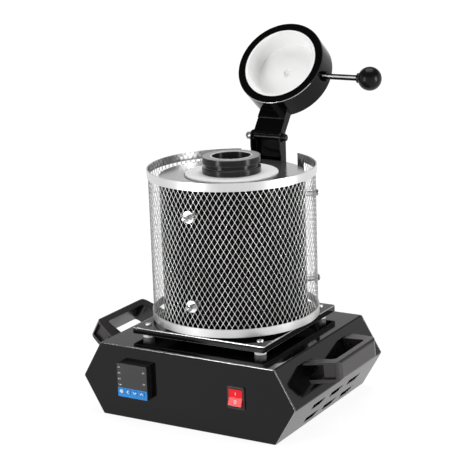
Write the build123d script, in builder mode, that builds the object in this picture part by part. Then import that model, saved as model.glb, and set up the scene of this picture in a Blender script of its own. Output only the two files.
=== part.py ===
from build123d import *
import os
from math import cos, radians, sin

# Electric gold melting furnace: a caged, heated drum on a control base, with a lid on a rear post.
# Millimetres, +Z up, +X to the right of the front panel, +Y to the rear.
# The origin is on the floor under the middle of the base.

os.makedirs("parts", exist_ok=True)

# ---------------------------------------------------------------- driving dimensions

# Base: a hexagonal sheet wrap closed by a front and a rear panel
base_depth = 256
base_height = 102
base_top_half = 133.5
base_mid_half = 163.5
sheet = 1.5
sheet_bend = 2.5
panel = 2
panel_gap = 0.4
panel_flange = 14
vent_length = 38
vent_height = 9.5
vent_slant = 12
vent_pitch = 51.7
vent_middle = 10
vent_rows = (11.5, 31.5)

# Panel controller, 1/16 DIN
controller_x = -77
controller_z = 57.5
controller_face = 48
controller_proud = 11.5
controller_body = 44.6
controller_length = 70
display_width = 46.4
key_strip_height = 12.6
key_width = 8.2
key_height = 6
key_z = 42
key_columns = (-94.4, -84.3, -73.4, -62.2)
key_clearance = 0.2
key_depth = 3
key_proud = 0.4

# Rocker switch
switch_x = 77.5
switch_z = 56
bezel_width = 26
bezel_height = 31
bezel_proud = 2.2
rocker_width = 20
rocker_half = 11
rocker_tilt = 9
rocker_depth = 5
rocker_clearance = 0.3
rocker_pin = 2.4
rocker_pin_length = 0.9
running_fit = 0.05

# Power inlet on the rear panel, IEC C14
inlet_x = 85
inlet_z = 51
inlet_flange_width = 50
inlet_flange_height = 23
inlet_flange_thickness = 2.5
inlet_screw_half = 20
inlet_body_width = 27.5
inlet_body_height = 19.5
inlet_body_depth = 22
socket_half_width = 12.3
socket_half_height = 8.3
socket_chamfer = 4.3
socket_depth = 18
socket_pin_length = 13

# Side handles and their lugs
handle_pivot_x = 155.3
handle_pivot_z = 86.4
handle_reach = 35.4
handle_grip = 11.5
handle_top = 8.3
handle_low = -17.7
handle_heel_low = -19.7
handle_span = 114.6
handle_foot_span = 141
handle_end = -10.4
handle_lowered = 4.9
handle_raised = 28.9
handle_pin = 4
handle_shoulder = -2.8
handle_heel = -2.2
arm_thickness = 13
arm_foot = 24
recess_depth = 12
recess_low = -14
recess_high = 5.8
recess_reach = 26
flare_start = 12
flare_end = 30
flare_depth = 5
lug_inset = 11.6
lug_foot = 10
lug_round = 5.3
lug_thickness = 3

# Plate on its stand-offs
plate_side = 204
plate_y = 6
plate_top = 118.7
plate_lip = 9.2
stand_off = 16
stand_off_x = 87
stand_off_y = 85

# Drum, top cover, ceramic ring
axis_y = 9
drum_radius = 98.5
drum_sheet = 1.2
cover_top = 318
cover_skirt = 14
cover_screw_z = 309
ring_radius = 63
ring_bore = 36
ring_top = 320.4
ring_seat = 312

# Heating chamber, insulation, coil, lead rods, thermocouple
chamber_radius = 52
chamber_bore = 45.4
chamber_bottom = 196
chamber_floor = 8
coil_radius = 42
coil_wire = 2.6
coil_turns = 12
coil_pitch = 7.6
coil_bottom = 213
coil_lead_in = 14
rod_radius = 60
rod_diameter = 5
rod_clamp = 8
rod_bottom = 80
lead_angles = (70, 110)
bush_diameter = 11
probe_radius = 37.5
probe_diameter = 4.5
probe_top = 250
terminal_bottom = 84.5
terminal_width = 60
terminal_depth = 36
terminal_y = 48
bush_length = 21

# Heat sink and relay inside the base
sink_x = 50
sink_width = 90
sink_depth = 80
sink_plate = 4
fin_pitch = 9.5
fin_thickness = 2
fin_height = 24
relay_width = 45
relay_length = 60
relay_height = 22

# Crucible
crucible_bottom = 208
crucible_radius = 33
crucible_opening = 26.8
crucible_collar = 39.9
crucible_flange = 39.4
crucible_neck = 35.5
crucible_top = 343

# Guard round the drum, open at the rear
guard_radius = 114.5
guard_sheet = 1.5
guard_bottom = 122.7
guard_top = 329.4
rim_height = 11.2
gap_half_angle = 23.4
strip_angle = 8
mesh_sheet = 1.2
mesh_flats = 25
mesh_flat_angle = 12
mesh_margin = 3.3
strand = 2.2
diamond_height = 40.13
stud_angles = (-90, 42, 138)
stud_heights = (162.4, 282.8)
stud_diameter = 5
washer_diameter = 16.5
washer_thickness = 1.5
nut_height = 4.5

# Hinge post and hinge
post_width = 47.5
post_front = 104.6
post_back = 119
post_sheet = 1.5
post_round = 8.5
hinge_y = 110.5
hinge_z = 350
hinge_pin = 8
post_screw_heights = (165, 265)

# Lid, photographed leaning back past the vertical
lid_lean = 38.2
lid_offset = 101.5
lid_face = 28.6
lid_radius = 64
lid_depth = 40
lid_wall = 1.5
lid_window = 53
dish_mouth = 49.5
dish_floor = 44
dish_depth = 26
arm_width = 43
arm_web = 5.5
arm_back = 6.5
arm_step_at = 26
arm_step = 1.5
rod_below_face = 20
rod_toward_hinge = 6.5
side_rod = 8
knob_diameter = 33
knob_x = 133

# ---------------------------------------------------------------- shared planes and shapes

base_front = -base_depth / 2
base_rear = base_depth / 2
controller_front = base_front - controller_proud
rod_spots = [(rod_radius * cos(radians(angle)), rod_radius * sin(radians(angle))) for angle in lead_angles]
furnace_axis = Axis((0, axis_y, 0), (0, 0, 1))
upright = Plane((0, axis_y, 0), x_dir=(1, 0, 0), z_dir=(0, -1, 0))


def level(height):
    """Return the level plane centred on the drum's axis at a height."""
    return Plane((0, axis_y, height))


def outward(angle, radius, height):
    """Return the plane that faces out of the drum at an angle, with its own Y up."""
    out = Vector(cos(radians(angle)), sin(radians(angle)), 0)
    side = Vector(-out.Y, out.X, 0)
    return Plane(Vector(0, axis_y, height) + out * radius, x_dir=side, z_dir=out)


def hexagon(inset, corner):
    """Return the base's hexagonal section, inset on all sides."""
    with BuildSketch() as section:
        with BuildLine():
            Polyline(
                (-base_top_half, 0),
                (base_top_half, 0),
                (base_mid_half, base_height / 2),
                (base_top_half, base_height),
                (-base_top_half, base_height),
                (-base_mid_half, base_height / 2),
                close=True,
            )
        make_face()
        if inset:
            offset(amount=-inset, kind=Kind.INTERSECTION)
        fillet(section.vertices(), corner)
    return section.sketch


def arc_band(outer, inner, start, size):
    """Return the section of a band round the drum's axis, from a start angle on."""
    with BuildSketch() as band:
        with BuildLine():
            outside = CenterArc((0, 0), outer, start, size)
            inside = CenterArc((0, 0), inner, start, size)
            Line(outside @ 0, inside @ 0)
            Line(outside @ 1, inside @ 1)
        make_face()
    return band.sketch


# ---------------------------------------------------------------- base

lower_slope = Vector(base_top_half - base_mid_half, 0, -base_height / 2).normalized()

with BuildPart() as base_shell:
    with BuildSketch(Plane.XZ.offset(base_depth / 2 - panel - panel_gap)):
        add(hexagon(0, sheet_bend))
        add(hexagon(sheet, sheet_bend - sheet), mode=Mode.SUBTRACT)
    extrude(amount=-(base_depth - 2 * panel - 2 * panel_gap))
    for side in (-1, 1):
        slope = Vector(-side * lower_slope.X, 0, -lower_slope.Z)
        face_out = Vector(side * -lower_slope.Z, 0, lower_slope.X)
        foot = Vector(side * base_top_half, vent_middle, 0)
        vent_spots = [
            (row / -lower_slope.Z, column * vent_pitch) for row in vent_rows for column in (-1, 0, 1)
        ]
        vent = [
            (vent_height / 2, -vent_length / 2),
            (vent_height / 2, vent_length / 2),
            (-vent_height / 2, vent_length / 2),
            (-vent_height / 2, vent_slant - vent_length / 2),
        ]
        with BuildSketch(Plane(foot, x_dir=slope, z_dir=face_out)):
            with Locations(*vent_spots):
                Polygon(*[(up, side * along) for up, along in vent], align=None)
        extrude(amount=-2 * sheet, both=True, mode=Mode.SUBTRACT)
    with BuildSketch(Plane.XY.offset(base_height)):
        with Locations(*[(x, axis_y + y) for x, y in rod_spots]):
            Circle(bush_diameter / 2)
        with Locations((0, axis_y + probe_radius)):
            Circle(probe_diameter / 2)
    extrude(amount=-2 * sheet, mode=Mode.SUBTRACT)


def end_panel(plane):
    """Return a plate that closes one end of the wrap, with its return flange."""
    with BuildPart() as cover:
        with BuildSketch(plane):
            add(hexagon(0, sheet_bend))
        extrude(amount=-panel)
        fillet(cover.faces().sort_by(Axis((0, 0, 0), plane.z_dir))[-1].edges(), 1)
        with BuildSketch(plane.offset(-panel)):
            add(hexagon(sheet, sheet_bend - sheet))
            add(hexagon(2 * sheet, 1), mode=Mode.SUBTRACT)
        extrude(amount=-panel_flange)
    return cover.part


with BuildPart() as front_panel:
    add(end_panel(Plane.XZ.offset(base_depth / 2)))
    with BuildSketch(Plane.XZ.offset(base_depth / 2)):
        with Locations((controller_x, controller_z)):
            Rectangle(controller_body, controller_body)
        with Locations((switch_x, switch_z)):
            Rectangle(bezel_width - 4, bezel_height - 4)
    extrude(amount=-panel, mode=Mode.SUBTRACT)

rear_plane = Plane((0, base_rear, 0), x_dir=(-1, 0, 0), z_dir=(0, 1, 0))

with BuildPart() as rear_panel:
    add(end_panel(rear_plane))
    with BuildSketch(rear_plane):
        with Locations((-inlet_x, inlet_z)):
            Rectangle(inlet_body_width, inlet_body_height)
    extrude(amount=-panel, mode=Mode.SUBTRACT)

# ---------------------------------------------------------------- controller

display_bottom = controller_z - display_width / 2
strip_top = display_bottom + key_strip_height
pocket = 1

with BuildPart() as controller_case:
    with BuildSketch(Plane.XZ.offset(-base_front)):
        with Locations((controller_x, controller_z)):
            RectangleRounded(controller_face, controller_face, 2.5)
    extrude(amount=controller_proud)
    fillet(controller_case.faces().sort_by(Axis.Y)[0].edges(), 0.8)
    with BuildSketch(Plane.XZ.offset(-base_front)):
        with Locations((controller_x, controller_z)):
            Rectangle(controller_body, controller_body)
    extrude(amount=-controller_length)
    with BuildSketch(Plane.XZ.offset(-controller_front)):
        with Locations((controller_x, controller_z)):
            Rectangle(display_width, display_width)
    extrude(amount=-pocket, mode=Mode.SUBTRACT)
    with BuildSketch(Plane.XZ.offset(-controller_front - pocket)):
        with Locations(*[(column, key_z) for column in key_columns]):
            Rectangle(key_width + 2 * key_clearance, key_height + 2 * key_clearance)
    extrude(amount=-key_depth, mode=Mode.SUBTRACT)

with BuildPart() as controller_window:
    with BuildSketch(Plane.XZ.offset(-controller_front - pocket)):
        with Locations((controller_x, (strip_top + controller_z + display_width / 2) / 2)):
            Rectangle(display_width, display_width - key_strip_height)
    extrude(amount=0.8)

with BuildPart() as key_strip:
    with BuildSketch(Plane.XZ.offset(-controller_front - pocket)):
        with Locations((controller_x, display_bottom + key_strip_height / 2)):
            Rectangle(display_width, key_strip_height)
        with Locations(*[(column, key_z) for column in key_columns]):
            Rectangle(key_width + 2 * key_clearance, key_height + 2 * key_clearance, mode=Mode.SUBTRACT)
    extrude(amount=0.8)

keys = []
for column in key_columns:
    with BuildPart() as key:
        with BuildSketch(Plane.XZ.offset(-controller_front + key_proud)):
            with Locations((column, key_z)):
                RectangleRounded(key_width, key_height, 1)
        extrude(amount=-key_depth)
        fillet(key.faces().sort_by(Axis.Y)[0].edges(), 0.3)
    keys.append(key)

# ---------------------------------------------------------------- switch

rocker_end = rocker_depth + rocker_half * sin(radians(rocker_tilt))
bezel_front = base_front - bezel_proud
rocker_pivot_y = bezel_front - 0.5 + rocker_depth
cavity_width = rocker_width + 2 * rocker_clearance
cavity_height = 2 * rocker_half + 2.6
rocker_out = (0, -cos(radians(rocker_tilt)), sin(radians(rocker_tilt)))
rocker_side = Plane((switch_x, rocker_pivot_y, switch_z), x_dir=rocker_out, z_dir=(-1, 0, 0))

with BuildPart() as switch_housing:
    with BuildSketch(Plane.XZ.offset(-base_front)):
        with Locations((switch_x, switch_z)):
            RectangleRounded(bezel_width, bezel_height, 2)
    extrude(amount=bezel_proud)
    fillet(switch_housing.faces().sort_by(Axis.Y)[0].edges(), 1)
    with BuildSketch(Plane.XZ.offset(-base_front)):
        with Locations((switch_x, switch_z)):
            Rectangle(bezel_width - 4, bezel_height - 4)
    extrude(amount=-22)
    with BuildSketch(Plane.XZ.offset(-bezel_front)):
        with Locations((switch_x, switch_z)):
            Rectangle(cavity_width, cavity_height)
    extrude(amount=-16, mode=Mode.SUBTRACT)
    with BuildSketch(rocker_side):
        Circle(rocker_pin / 2 + running_fit)
    extrude(amount=bezel_width / 2 - 2, both=True, mode=Mode.SUBTRACT)

with BuildPart() as switch_rocker:
    with BuildSketch(rocker_side):
        with BuildLine():
            Polyline(
                (rocker_depth, 0),
                (rocker_end, rocker_half),
                (rocker_end - 4, rocker_half),
                (-4, 5),
                (-4, -5),
                (rocker_end - 4, -rocker_half),
                (rocker_end, -rocker_half),
                close=True,
            )
        make_face()
    extrude(amount=rocker_width / 2, both=True)
    with BuildSketch(rocker_side):
        Circle(rocker_pin / 2)
    extrude(amount=rocker_width / 2 + rocker_pin_length, both=True)

# ---------------------------------------------------------------- power inlet

inlet_plane = Plane((inlet_x, base_rear, inlet_z), x_dir=(-1, 0, 0), z_dir=(0, 1, 0))

with BuildPart() as power_inlet:
    with BuildSketch(inlet_plane):
        RectangleRounded(inlet_flange_width, inlet_flange_height, 4)
        with Locations((-inlet_screw_half, 0), (inlet_screw_half, 0)):
            Circle(1.7, mode=Mode.SUBTRACT)
    extrude(amount=inlet_flange_thickness)
    with BuildSketch(inlet_plane):
        Rectangle(inlet_body_width, inlet_body_height)
    extrude(amount=-inlet_body_depth)
    with BuildSketch(inlet_plane.offset(inlet_flange_thickness)) as socket:
        Rectangle(2 * socket_half_width, 2 * socket_half_height)
        chamfer(socket.vertices().group_by(Axis.Y)[-1], socket_chamfer)
    extrude(amount=-socket_depth, mode=Mode.SUBTRACT)

with BuildPart() as inlet_pins:
    with BuildSketch(inlet_plane.offset(inlet_flange_thickness - socket_depth)):
        with Locations((-7, -2), (7, -2), (0, 2)):
            Rectangle(2, 4)
    extrude(amount=socket_pin_length)

# ---------------------------------------------------------------- handles

slope_out = Vector(base_height / 2, 0, base_mid_half - base_top_half).normalized()


def handle(side, angle, middle):
    """Return one bow: a tall grip on two flared arms, hollowed on their outer faces."""
    reach = Vector(side * cos(radians(angle)), 0, sin(radians(angle)))
    rise = Vector(-side * sin(radians(angle)), 0, cos(radians(angle)))
    pivot = Vector(side * handle_pivot_x, middle, handle_pivot_z)
    flank = Plane(pivot, x_dir=reach, z_dir=(0, -side, 0))
    plan = Plane(pivot, x_dir=reach, z_dir=rise)
    outer_corner = handle_span / 2
    outer_foot = handle_foot_span / 2
    grip_inner = handle_reach - handle_grip
    inner_corner = outer_corner - arm_thickness
    inner_foot = outer_foot - arm_foot
    taper = (outer_foot - outer_corner) / (handle_reach - handle_end + 1)
    flare_reaches = (flare_start, flare_end)
    flare = [(reached, outer_foot - taper * (reached - handle_end + 1)) for reached in flare_reaches]
    with BuildPart() as bow:
        with BuildSketch(flank) as outline:
            with BuildLine():
                Polyline(
                    (handle_reach, handle_top),
                    (handle_end, handle_top),
                    (handle_end, handle_shoulder),
                    (handle_heel, handle_heel_low),
                    (handle_reach, handle_low),
                    close=True,
                )
            make_face()
            fillet(outline.vertices().group_by(Axis.X)[-1], 4)
        extrude(amount=outer_foot + 1, both=True)
        with BuildSketch(plan.offset(-30)) as bow_plan:
            with BuildLine():
                Polyline(
                    (handle_end - 1, -outer_foot),
                    (handle_reach, -outer_corner),
                    (handle_reach, outer_corner),
                    (handle_end - 1, outer_foot),
                    (handle_end - 1, inner_foot),
                    (grip_inner, inner_corner),
                    (grip_inner, -inner_corner),
                    (handle_end - 1, -inner_foot),
                    close=True,
                )
            make_face()
            fillet(bow_plan.vertices().group_by(Axis.X)[1], 6)
            fillet(bow_plan.vertices().group_by(Axis.X)[-1], 14)
        extrude(amount=60, mode=Mode.INTERSECT)
        for end in (-1, 1):
            with BuildSketch(flank.offset(end * (outer_foot - recess_depth))) as recess:
                with BuildLine():
                    Polyline(
                        (recess_low, recess_low),
                        (recess_low, recess_high),
                        (recess_reach, recess_high),
                        (recess_reach, recess_low),
                        close=True,
                    )
                make_face()
                fillet(recess.vertices(), 2)
            extrude(amount=end * 20, mode=Mode.SUBTRACT)
            with BuildSketch(plan.offset(recess_low)):
                with BuildLine():
                    Polyline(
                        *[(reached, end * (width - flare_depth)) for reached, width in flare],
                        *[(reached, end * (width + 10)) for reached, width in reversed(flare)],
                        close=True,
                    )
                make_face()
            extrude(amount=recess_high - recess_low, mode=Mode.SUBTRACT)
        with BuildSketch(flank):
            Circle(handle_pin / 2 + running_fit)
        extrude(amount=outer_foot, both=True, mode=Mode.SUBTRACT)
    return bow


def lug(side, end, middle):
    """Return one lug on the upper slanted side, with its foot and its pin."""
    out = Vector(side * slope_out.X, 0, slope_out.Z)
    pivot = Vector(side * handle_pivot_x, middle, handle_pivot_z)
    face = Vector(side * base_top_half, 0, base_height)
    height = (pivot - face).dot(out)
    inside = end * (handle_foot_span / 2 - lug_inset)
    flank = Plane(pivot + Vector(0, inside, 0), x_dir=out, z_dir=(0, end, 0))
    with BuildPart() as ear:
        with BuildSketch(flank):
            Circle(lug_round)
            with Locations((-height / 2, 0)):
                Rectangle(height, 2 * lug_round)
        extrude(amount=lug_thickness)
        with BuildSketch(flank):
            with Locations((1 - height, 0)):
                Rectangle(2, 2 * lug_round)
        extrude(amount=lug_foot)
        with BuildSketch(flank.offset(-lug_foot)):
            Circle(handle_pin / 2)
        extrude(amount=lug_foot + lug_thickness + 1)
        with BuildSketch(flank.offset(lug_thickness)):
            Circle(3.5)
        extrude(amount=1.4)
    return ear


handle_right = handle(1, handle_lowered, 0)
handle_left = handle(-1, handle_raised, -10)
lugs = {
    "right_front": lug(1, -1, 0),
    "right_rear": lug(1, 1, 0),
    "left_front": lug(-1, -1, -10),
    "left_rear": lug(-1, 1, -10),
}

# ---------------------------------------------------------------- plate and stand-offs

insulators = []
for x in (-stand_off_x, stand_off_x):
    for y in (plate_y - stand_off_y, plate_y + stand_off_y):
        with BuildPart() as insulator:
            with BuildSketch(Plane((x, y, base_height))):
                Circle(stand_off / 2)
            extrude(amount=plate_top - sheet - base_height)
            fillet(insulator.edges().filter_by(GeomType.CIRCLE), 0.8)
        insulators.append(insulator)

with BuildPart() as furnace_plate:
    with BuildSketch(Plane((0, plate_y, plate_top))):
        RectangleRounded(plate_side, plate_side, 1.8)
    extrude(amount=-plate_lip)
    fillet(furnace_plate.faces().sort_by(Axis.Z)[-1].edges(), 1.6)
    with BuildSketch(Plane((0, plate_y, plate_top - sheet))):
        Rectangle(plate_side - 2 * sheet, plate_side - 2 * sheet)
    extrude(amount=-plate_lip, mode=Mode.SUBTRACT)
    with BuildSketch(Plane((0, axis_y, plate_top))):
        with Locations(*rod_spots):
            Circle(bush_diameter / 2)
        with Locations((0, probe_radius)):
            Circle(probe_diameter / 2)
    extrude(amount=-2 * sheet, mode=Mode.SUBTRACT)

with BuildPart() as plate_screws:
    for x in (-stand_off_x, stand_off_x):
        for y in (plate_y - stand_off_y, plate_y + stand_off_y):
            with BuildSketch(Plane((x, y, plate_top))):
                Circle(4.5)
            extrude(amount=3)
    fillet(plate_screws.faces().filter_by(Axis.Z).group_by(Axis.Z)[-1].edges(), 1.5)

# ---------------------------------------------------------------- drum and what it holds

with BuildPart() as furnace_shell:
    with BuildSketch(level(plate_top)):
        Circle(drum_radius)
        Circle(drum_radius - drum_sheet, mode=Mode.SUBTRACT)
    extrude(amount=cover_top - sheet - plate_top)

skirt_radius = drum_radius - drum_sheet

with BuildPart() as top_cover:
    with BuildSketch(upright):
        with BuildLine():
            Polyline(
                (ring_radius, cover_top),
                (drum_radius, cover_top),
                (drum_radius, cover_top - sheet),
                (skirt_radius, cover_top - sheet),
                (skirt_radius, cover_top - cover_skirt),
                (skirt_radius - drum_sheet, cover_top - cover_skirt),
                (skirt_radius - drum_sheet, cover_top - sheet),
                (ring_radius, cover_top - sheet),
                close=True,
            )
        make_face()
    revolve(axis=furnace_axis)

with BuildPart() as cover_screws:
    for angle in range(-90, 270, 60):
        with BuildSketch(outward(angle, drum_radius - 2, cover_screw_z)):
            Circle(3)
        extrude(amount=4)
    fillet(cover_screws.edges().filter_by(GeomType.CIRCLE).group_by(SortBy.RADIUS)[-1], 0.9)
    with BuildSketch(level(cover_screw_z - 5)):
        Circle(drum_radius)
    extrude(amount=10, mode=Mode.SUBTRACT)

with BuildPart() as ceramic_ring:
    with BuildSketch(level(ring_seat)):
        Circle(ring_radius)
        Circle(ring_bore, mode=Mode.SUBTRACT)
    extrude(amount=ring_top - ring_seat)
    fillet(ceramic_ring.faces().sort_by(Axis.Z)[-1].edges(), 1.2)

helix_top = coil_bottom + coil_turns * coil_pitch

with BuildPart() as heating_chamber:
    with BuildSketch(upright):
        with BuildLine():
            Polyline(
                (0, chamber_bottom),
                (chamber_radius, chamber_bottom),
                (chamber_radius, ring_seat),
                (chamber_bore, ring_seat),
                (chamber_bore, chamber_bottom + chamber_floor),
                (0, chamber_bottom + chamber_floor),
                close=True,
            )
        make_face()
    revolve(axis=furnace_axis)
    with BuildSketch(level(chamber_bottom)):
        with Locations((0, probe_radius)):
            Circle(probe_diameter / 2)
    extrude(amount=chamber_floor, mode=Mode.SUBTRACT)
    for angle, height in zip(lead_angles, (coil_bottom, helix_top)):
        with BuildSketch(outward(angle, chamber_bore - 3, height)):
            Circle(coil_wire)
        extrude(amount=12, mode=Mode.SUBTRACT)

sleeve_radius = skirt_radius - drum_sheet

with BuildPart() as insulation_sleeve:
    with BuildSketch(upright):
        with BuildLine():
            Polyline(
                (chamber_radius, chamber_bottom),
                (sleeve_radius, chamber_bottom),
                (sleeve_radius, cover_top - sheet),
                (ring_radius, cover_top - sheet),
                (ring_radius, ring_seat),
                (chamber_radius, ring_seat),
                close=True,
            )
        make_face()
    revolve(axis=furnace_axis)
    for angle in lead_angles:
        with BuildSketch(outward(angle, chamber_radius - 2, 0)):
            with Locations((0, (chamber_bottom + ring_seat) / 2)):
                Rectangle(12, ring_seat - chamber_bottom)
        extrude(amount=16, mode=Mode.SUBTRACT)

with BuildPart() as insulation_base:
    with BuildSketch(level(plate_top)):
        Circle(skirt_radius)
        with Locations(*rod_spots):
            Circle(bush_diameter / 2 + 0.5, mode=Mode.SUBTRACT)
        with Locations((0, probe_radius)):
            Circle(probe_diameter / 2, mode=Mode.SUBTRACT)
    extrude(amount=chamber_bottom - plate_top)


def biarc(start, leave, end, arrive):
    """Draw two arcs that leave one point in a direction and reach another in a direction."""
    chord = end - start
    both = leave + arrive
    spread = 2 * (1 - leave.dot(arrive))
    ahead = chord.dot(both)
    arm = (-ahead + (ahead**2 + spread * chord.dot(chord)) ** 0.5) / spread
    first = start + leave * arm
    second = end - arrive * arm
    middle = (first + second) / 2
    TangentArc(start, middle, tangent=leave)
    TangentArc(middle, end, tangent=(second - first).normalized())


def on_helix(angle):
    """Return the coil's point and direction at an angle from where its helix starts."""
    turn = radians(lead_angles[0] + coil_lead_in + angle)
    height = coil_bottom + coil_pitch * angle / 360
    point = Vector(coil_radius * cos(turn), axis_y + coil_radius * sin(turn), height)
    rise = coil_pitch / radians(360)
    direction = Vector(-coil_radius * sin(turn), coil_radius * cos(turn), rise).normalized()
    return point, direction


def lead(angle, radius, height):
    """Return a point out from the drum's axis, and the direction towards the axis."""
    out = Vector(cos(radians(angle)), sin(radians(angle)), 0)
    return Vector(0, axis_y, height) + out * radius, out * -1


helix_sweep = coil_turns * 360 + lead_angles[1] - lead_angles[0] - 2 * coil_lead_in
clamp_face = rod_radius - rod_clamp / 2
lead_end = chamber_bore + 1

with BuildPart() as heating_coil:
    with BuildLine() as coil_path:
        tail, inwards = lead(lead_angles[0], clamp_face, coil_bottom)
        bend, inwards = lead(lead_angles[0], lead_end, coil_bottom)
        Line(tail, bend)
        point, direction = on_helix(0)
        biarc(bend, inwards, point, direction)
        steps = 2 * coil_turns
        for step in range(steps):
            following, onward = on_helix((step + 1) * helix_sweep / steps)
            biarc(point, direction, following, onward)
            point, direction = following, onward
        far_tail, inwards = lead(lead_angles[1], clamp_face, helix_top)
        far_bend, inwards = lead(lead_angles[1], lead_end, helix_top)
        biarc(point, direction, far_bend, inwards * -1)
        Line(far_bend, far_tail)
    with BuildSketch(Plane(tail, z_dir=(bend - tail).normalized())):
        RegularPolygon(coil_wire / 2, 6)
    sweep(path=coil_path.line)

coil_points = []
for edge in coil_path.edges():
    pieces_here = max(2, int(edge.length / 4))
    coil_points += [edge.position_at(step / pieces_here) for step in range(pieces_here)]
coil_gap = min(
    (near - far).length
    for index, near in enumerate(coil_points)
    for far in coil_points[index + 12 :]
)
print("coil: least gap to itself", round(coil_gap - coil_wire, 2), "mm")
coil_length = sum(edge.length for edge in coil_path.edges())
print("coil: length", round(coil_length), "mm, volume", round(heating_coil.part.volume), "mm3")

with BuildPart() as lead_rods:
    for angle, height, (x, y) in zip(lead_angles, (coil_bottom, helix_top), rod_spots):
        with BuildSketch(Plane((x, axis_y + y, rod_bottom))):
            Circle(rod_diameter / 2)
        extrude(amount=height - rod_bottom)
        with BuildSketch(outward(angle, clamp_face, height)):
            Rectangle(rod_clamp, rod_clamp)
        extrude(amount=rod_clamp)

with BuildPart() as lead_bushes:
    with BuildSketch(level(base_height - sheet)):
        with Locations(*rod_spots):
            Circle(bush_diameter / 2)
            Circle(rod_diameter / 2, mode=Mode.SUBTRACT)
    extrude(amount=bush_length)

with BuildPart() as terminal_block:
    with BuildSketch(Plane((0, axis_y + terminal_y, terminal_bottom))):
        Rectangle(terminal_width, terminal_depth)
        with Locations(*[(x, y - terminal_y) for x, y in rod_spots]):
            Circle(rod_diameter / 2, mode=Mode.SUBTRACT)
        with Locations((0, probe_radius - terminal_y)):
            Circle(probe_diameter / 2, mode=Mode.SUBTRACT)
    extrude(amount=base_height - sheet - terminal_bottom)

with BuildPart() as thermocouple:
    with BuildSketch(Plane((0, axis_y + probe_radius, rod_bottom))):
        Circle(probe_diameter / 2)
    extrude(amount=probe_top - rod_bottom)

with BuildPart() as crucible:
    with BuildSketch(upright) as crucible_section:
        with BuildLine():
            Polyline(
                (0, crucible_bottom),
                (crucible_radius - 2, crucible_bottom),
                (crucible_radius, ring_top),
                (crucible_collar, ring_top),
                (crucible_collar, ring_top + 8),
                (crucible_neck, ring_top + 8),
                (crucible_neck, crucible_top - 9),
                (crucible_flange, crucible_top - 9),
                (crucible_flange, crucible_top),
                (crucible_opening, crucible_top),
                (crucible_opening - 3, crucible_bottom + 13),
                (0, crucible_bottom + 10),
                close=True,
            )
        make_face()
    revolve(axis=furnace_axis)
    rounded = crucible.edges().filter_by(GeomType.CIRCLE).filter_by(lambda edge: edge.radius > 39)
    fillet(rounded, 0.8)

# ---------------------------------------------------------------- inside the base

with BuildPart() as heat_sink:
    with BuildSketch(Plane.XZ.offset(20)):
        with Locations((sink_x, sheet + sink_plate / 2)):
            Rectangle(sink_width, sink_plate)
        with Locations(*[(sink_x + fin_pitch * fin, sheet + 2 + fin_height / 2) for fin in range(-4, 5)]):
            Rectangle(fin_thickness, fin_height)
    extrude(amount=-sink_depth)

with BuildPart() as relay:
    with BuildSketch(Plane((sink_x, 20, sheet + 2 + fin_height))):
        RectangleRounded(relay_width, relay_length, 3)
    extrude(amount=relay_height)

# ---------------------------------------------------------------- guard

band_start = 90 + gap_half_angle
band_size = 360 - 2 * gap_half_angle
mesh_radius = guard_radius - guard_sheet
half_flat = mesh_flat_angle / 2
flat_distance = mesh_radius * cos(radians(half_flat))
inner_radius = (flat_distance - mesh_sheet) / cos(radians(half_flat))
mesh_bottom = guard_bottom + mesh_margin
mesh_height = guard_top - guard_bottom - 2 * mesh_margin
mesh_middle = (guard_bottom + guard_top) / 2
open_height = guard_top - guard_bottom - 2 * rim_height - 1.2
flat_half = mesh_radius * sin(radians(half_flat))
slope_length = (flat_half**2 + (diamond_height / 2) ** 2) ** 0.5
shrink = 1 - (strand / 2) * slope_length / (flat_half * diamond_height / 2)
first_angle = -90 - mesh_flats * half_flat
corners = [radians(first_angle + step * mesh_flat_angle) for step in range(mesh_flats + 1)]
crossing = stud_heights[0] - mesh_middle
diamond = [
    (shrink * flat_half, 0),
    (0, shrink * diamond_height / 2),
    (-shrink * flat_half, 0),
    (0, -shrink * diamond_height / 2),
]

with BuildPart() as guard_mesh:
    with BuildSketch(level(mesh_bottom)):
        with BuildLine():
            Polyline(
                *[(mesh_radius * cos(turn), mesh_radius * sin(turn)) for turn in corners],
                *[(inner_radius * cos(turn), inner_radius * sin(turn)) for turn in reversed(corners)],
                close=True,
            )
        make_face()
    extrude(amount=mesh_height)
    for step in range(2 * mesh_flats - 1):
        angle = first_angle + half_flat * (step + 1)
        shift = diamond_height / 2 if step % 2 == 0 else 0
        rows = [crossing + shift + row * diamond_height for row in range(-2, 6)]
        with BuildSketch(outward(angle, mesh_radius - 8, mesh_middle)):
            with Locations(*[(0, row) for row in rows]):
                Polygon(*diamond, align=None)
            Rectangle(3 * flat_half, open_height, mode=Mode.INTERSECT)
        extrude(amount=12, mode=Mode.SUBTRACT)
    for angle in stud_angles:
        with BuildSketch(outward(angle, mesh_radius - 8, 0)):
            with Locations(*[(0, height) for height in stud_heights]):
                Circle(stud_diameter / 2)
        extrude(amount=12, mode=Mode.SUBTRACT)

rims = []
for bottom in (guard_bottom, guard_top - rim_height):
    with BuildPart() as rim:
        with BuildSketch(level(bottom)):
            add(arc_band(guard_radius, mesh_radius, band_start, band_size))
        extrude(amount=rim_height)
    rims.append(rim)
guard_rim_bottom, guard_rim_top = rims

with BuildPart() as guard_end_strips:
    with BuildSketch(level(guard_bottom + rim_height)):
        add(arc_band(guard_radius, mesh_radius, 90 - gap_half_angle - strip_angle, strip_angle))
        add(arc_band(guard_radius, mesh_radius, band_start, strip_angle))
    extrude(amount=guard_top - guard_bottom - 2 * rim_height)


def at_each_stud(radius):
    """Return the outward planes of all the guard's studs at a radius."""
    return [outward(angle, radius, height) for angle in stud_angles for height in stud_heights]


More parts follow.
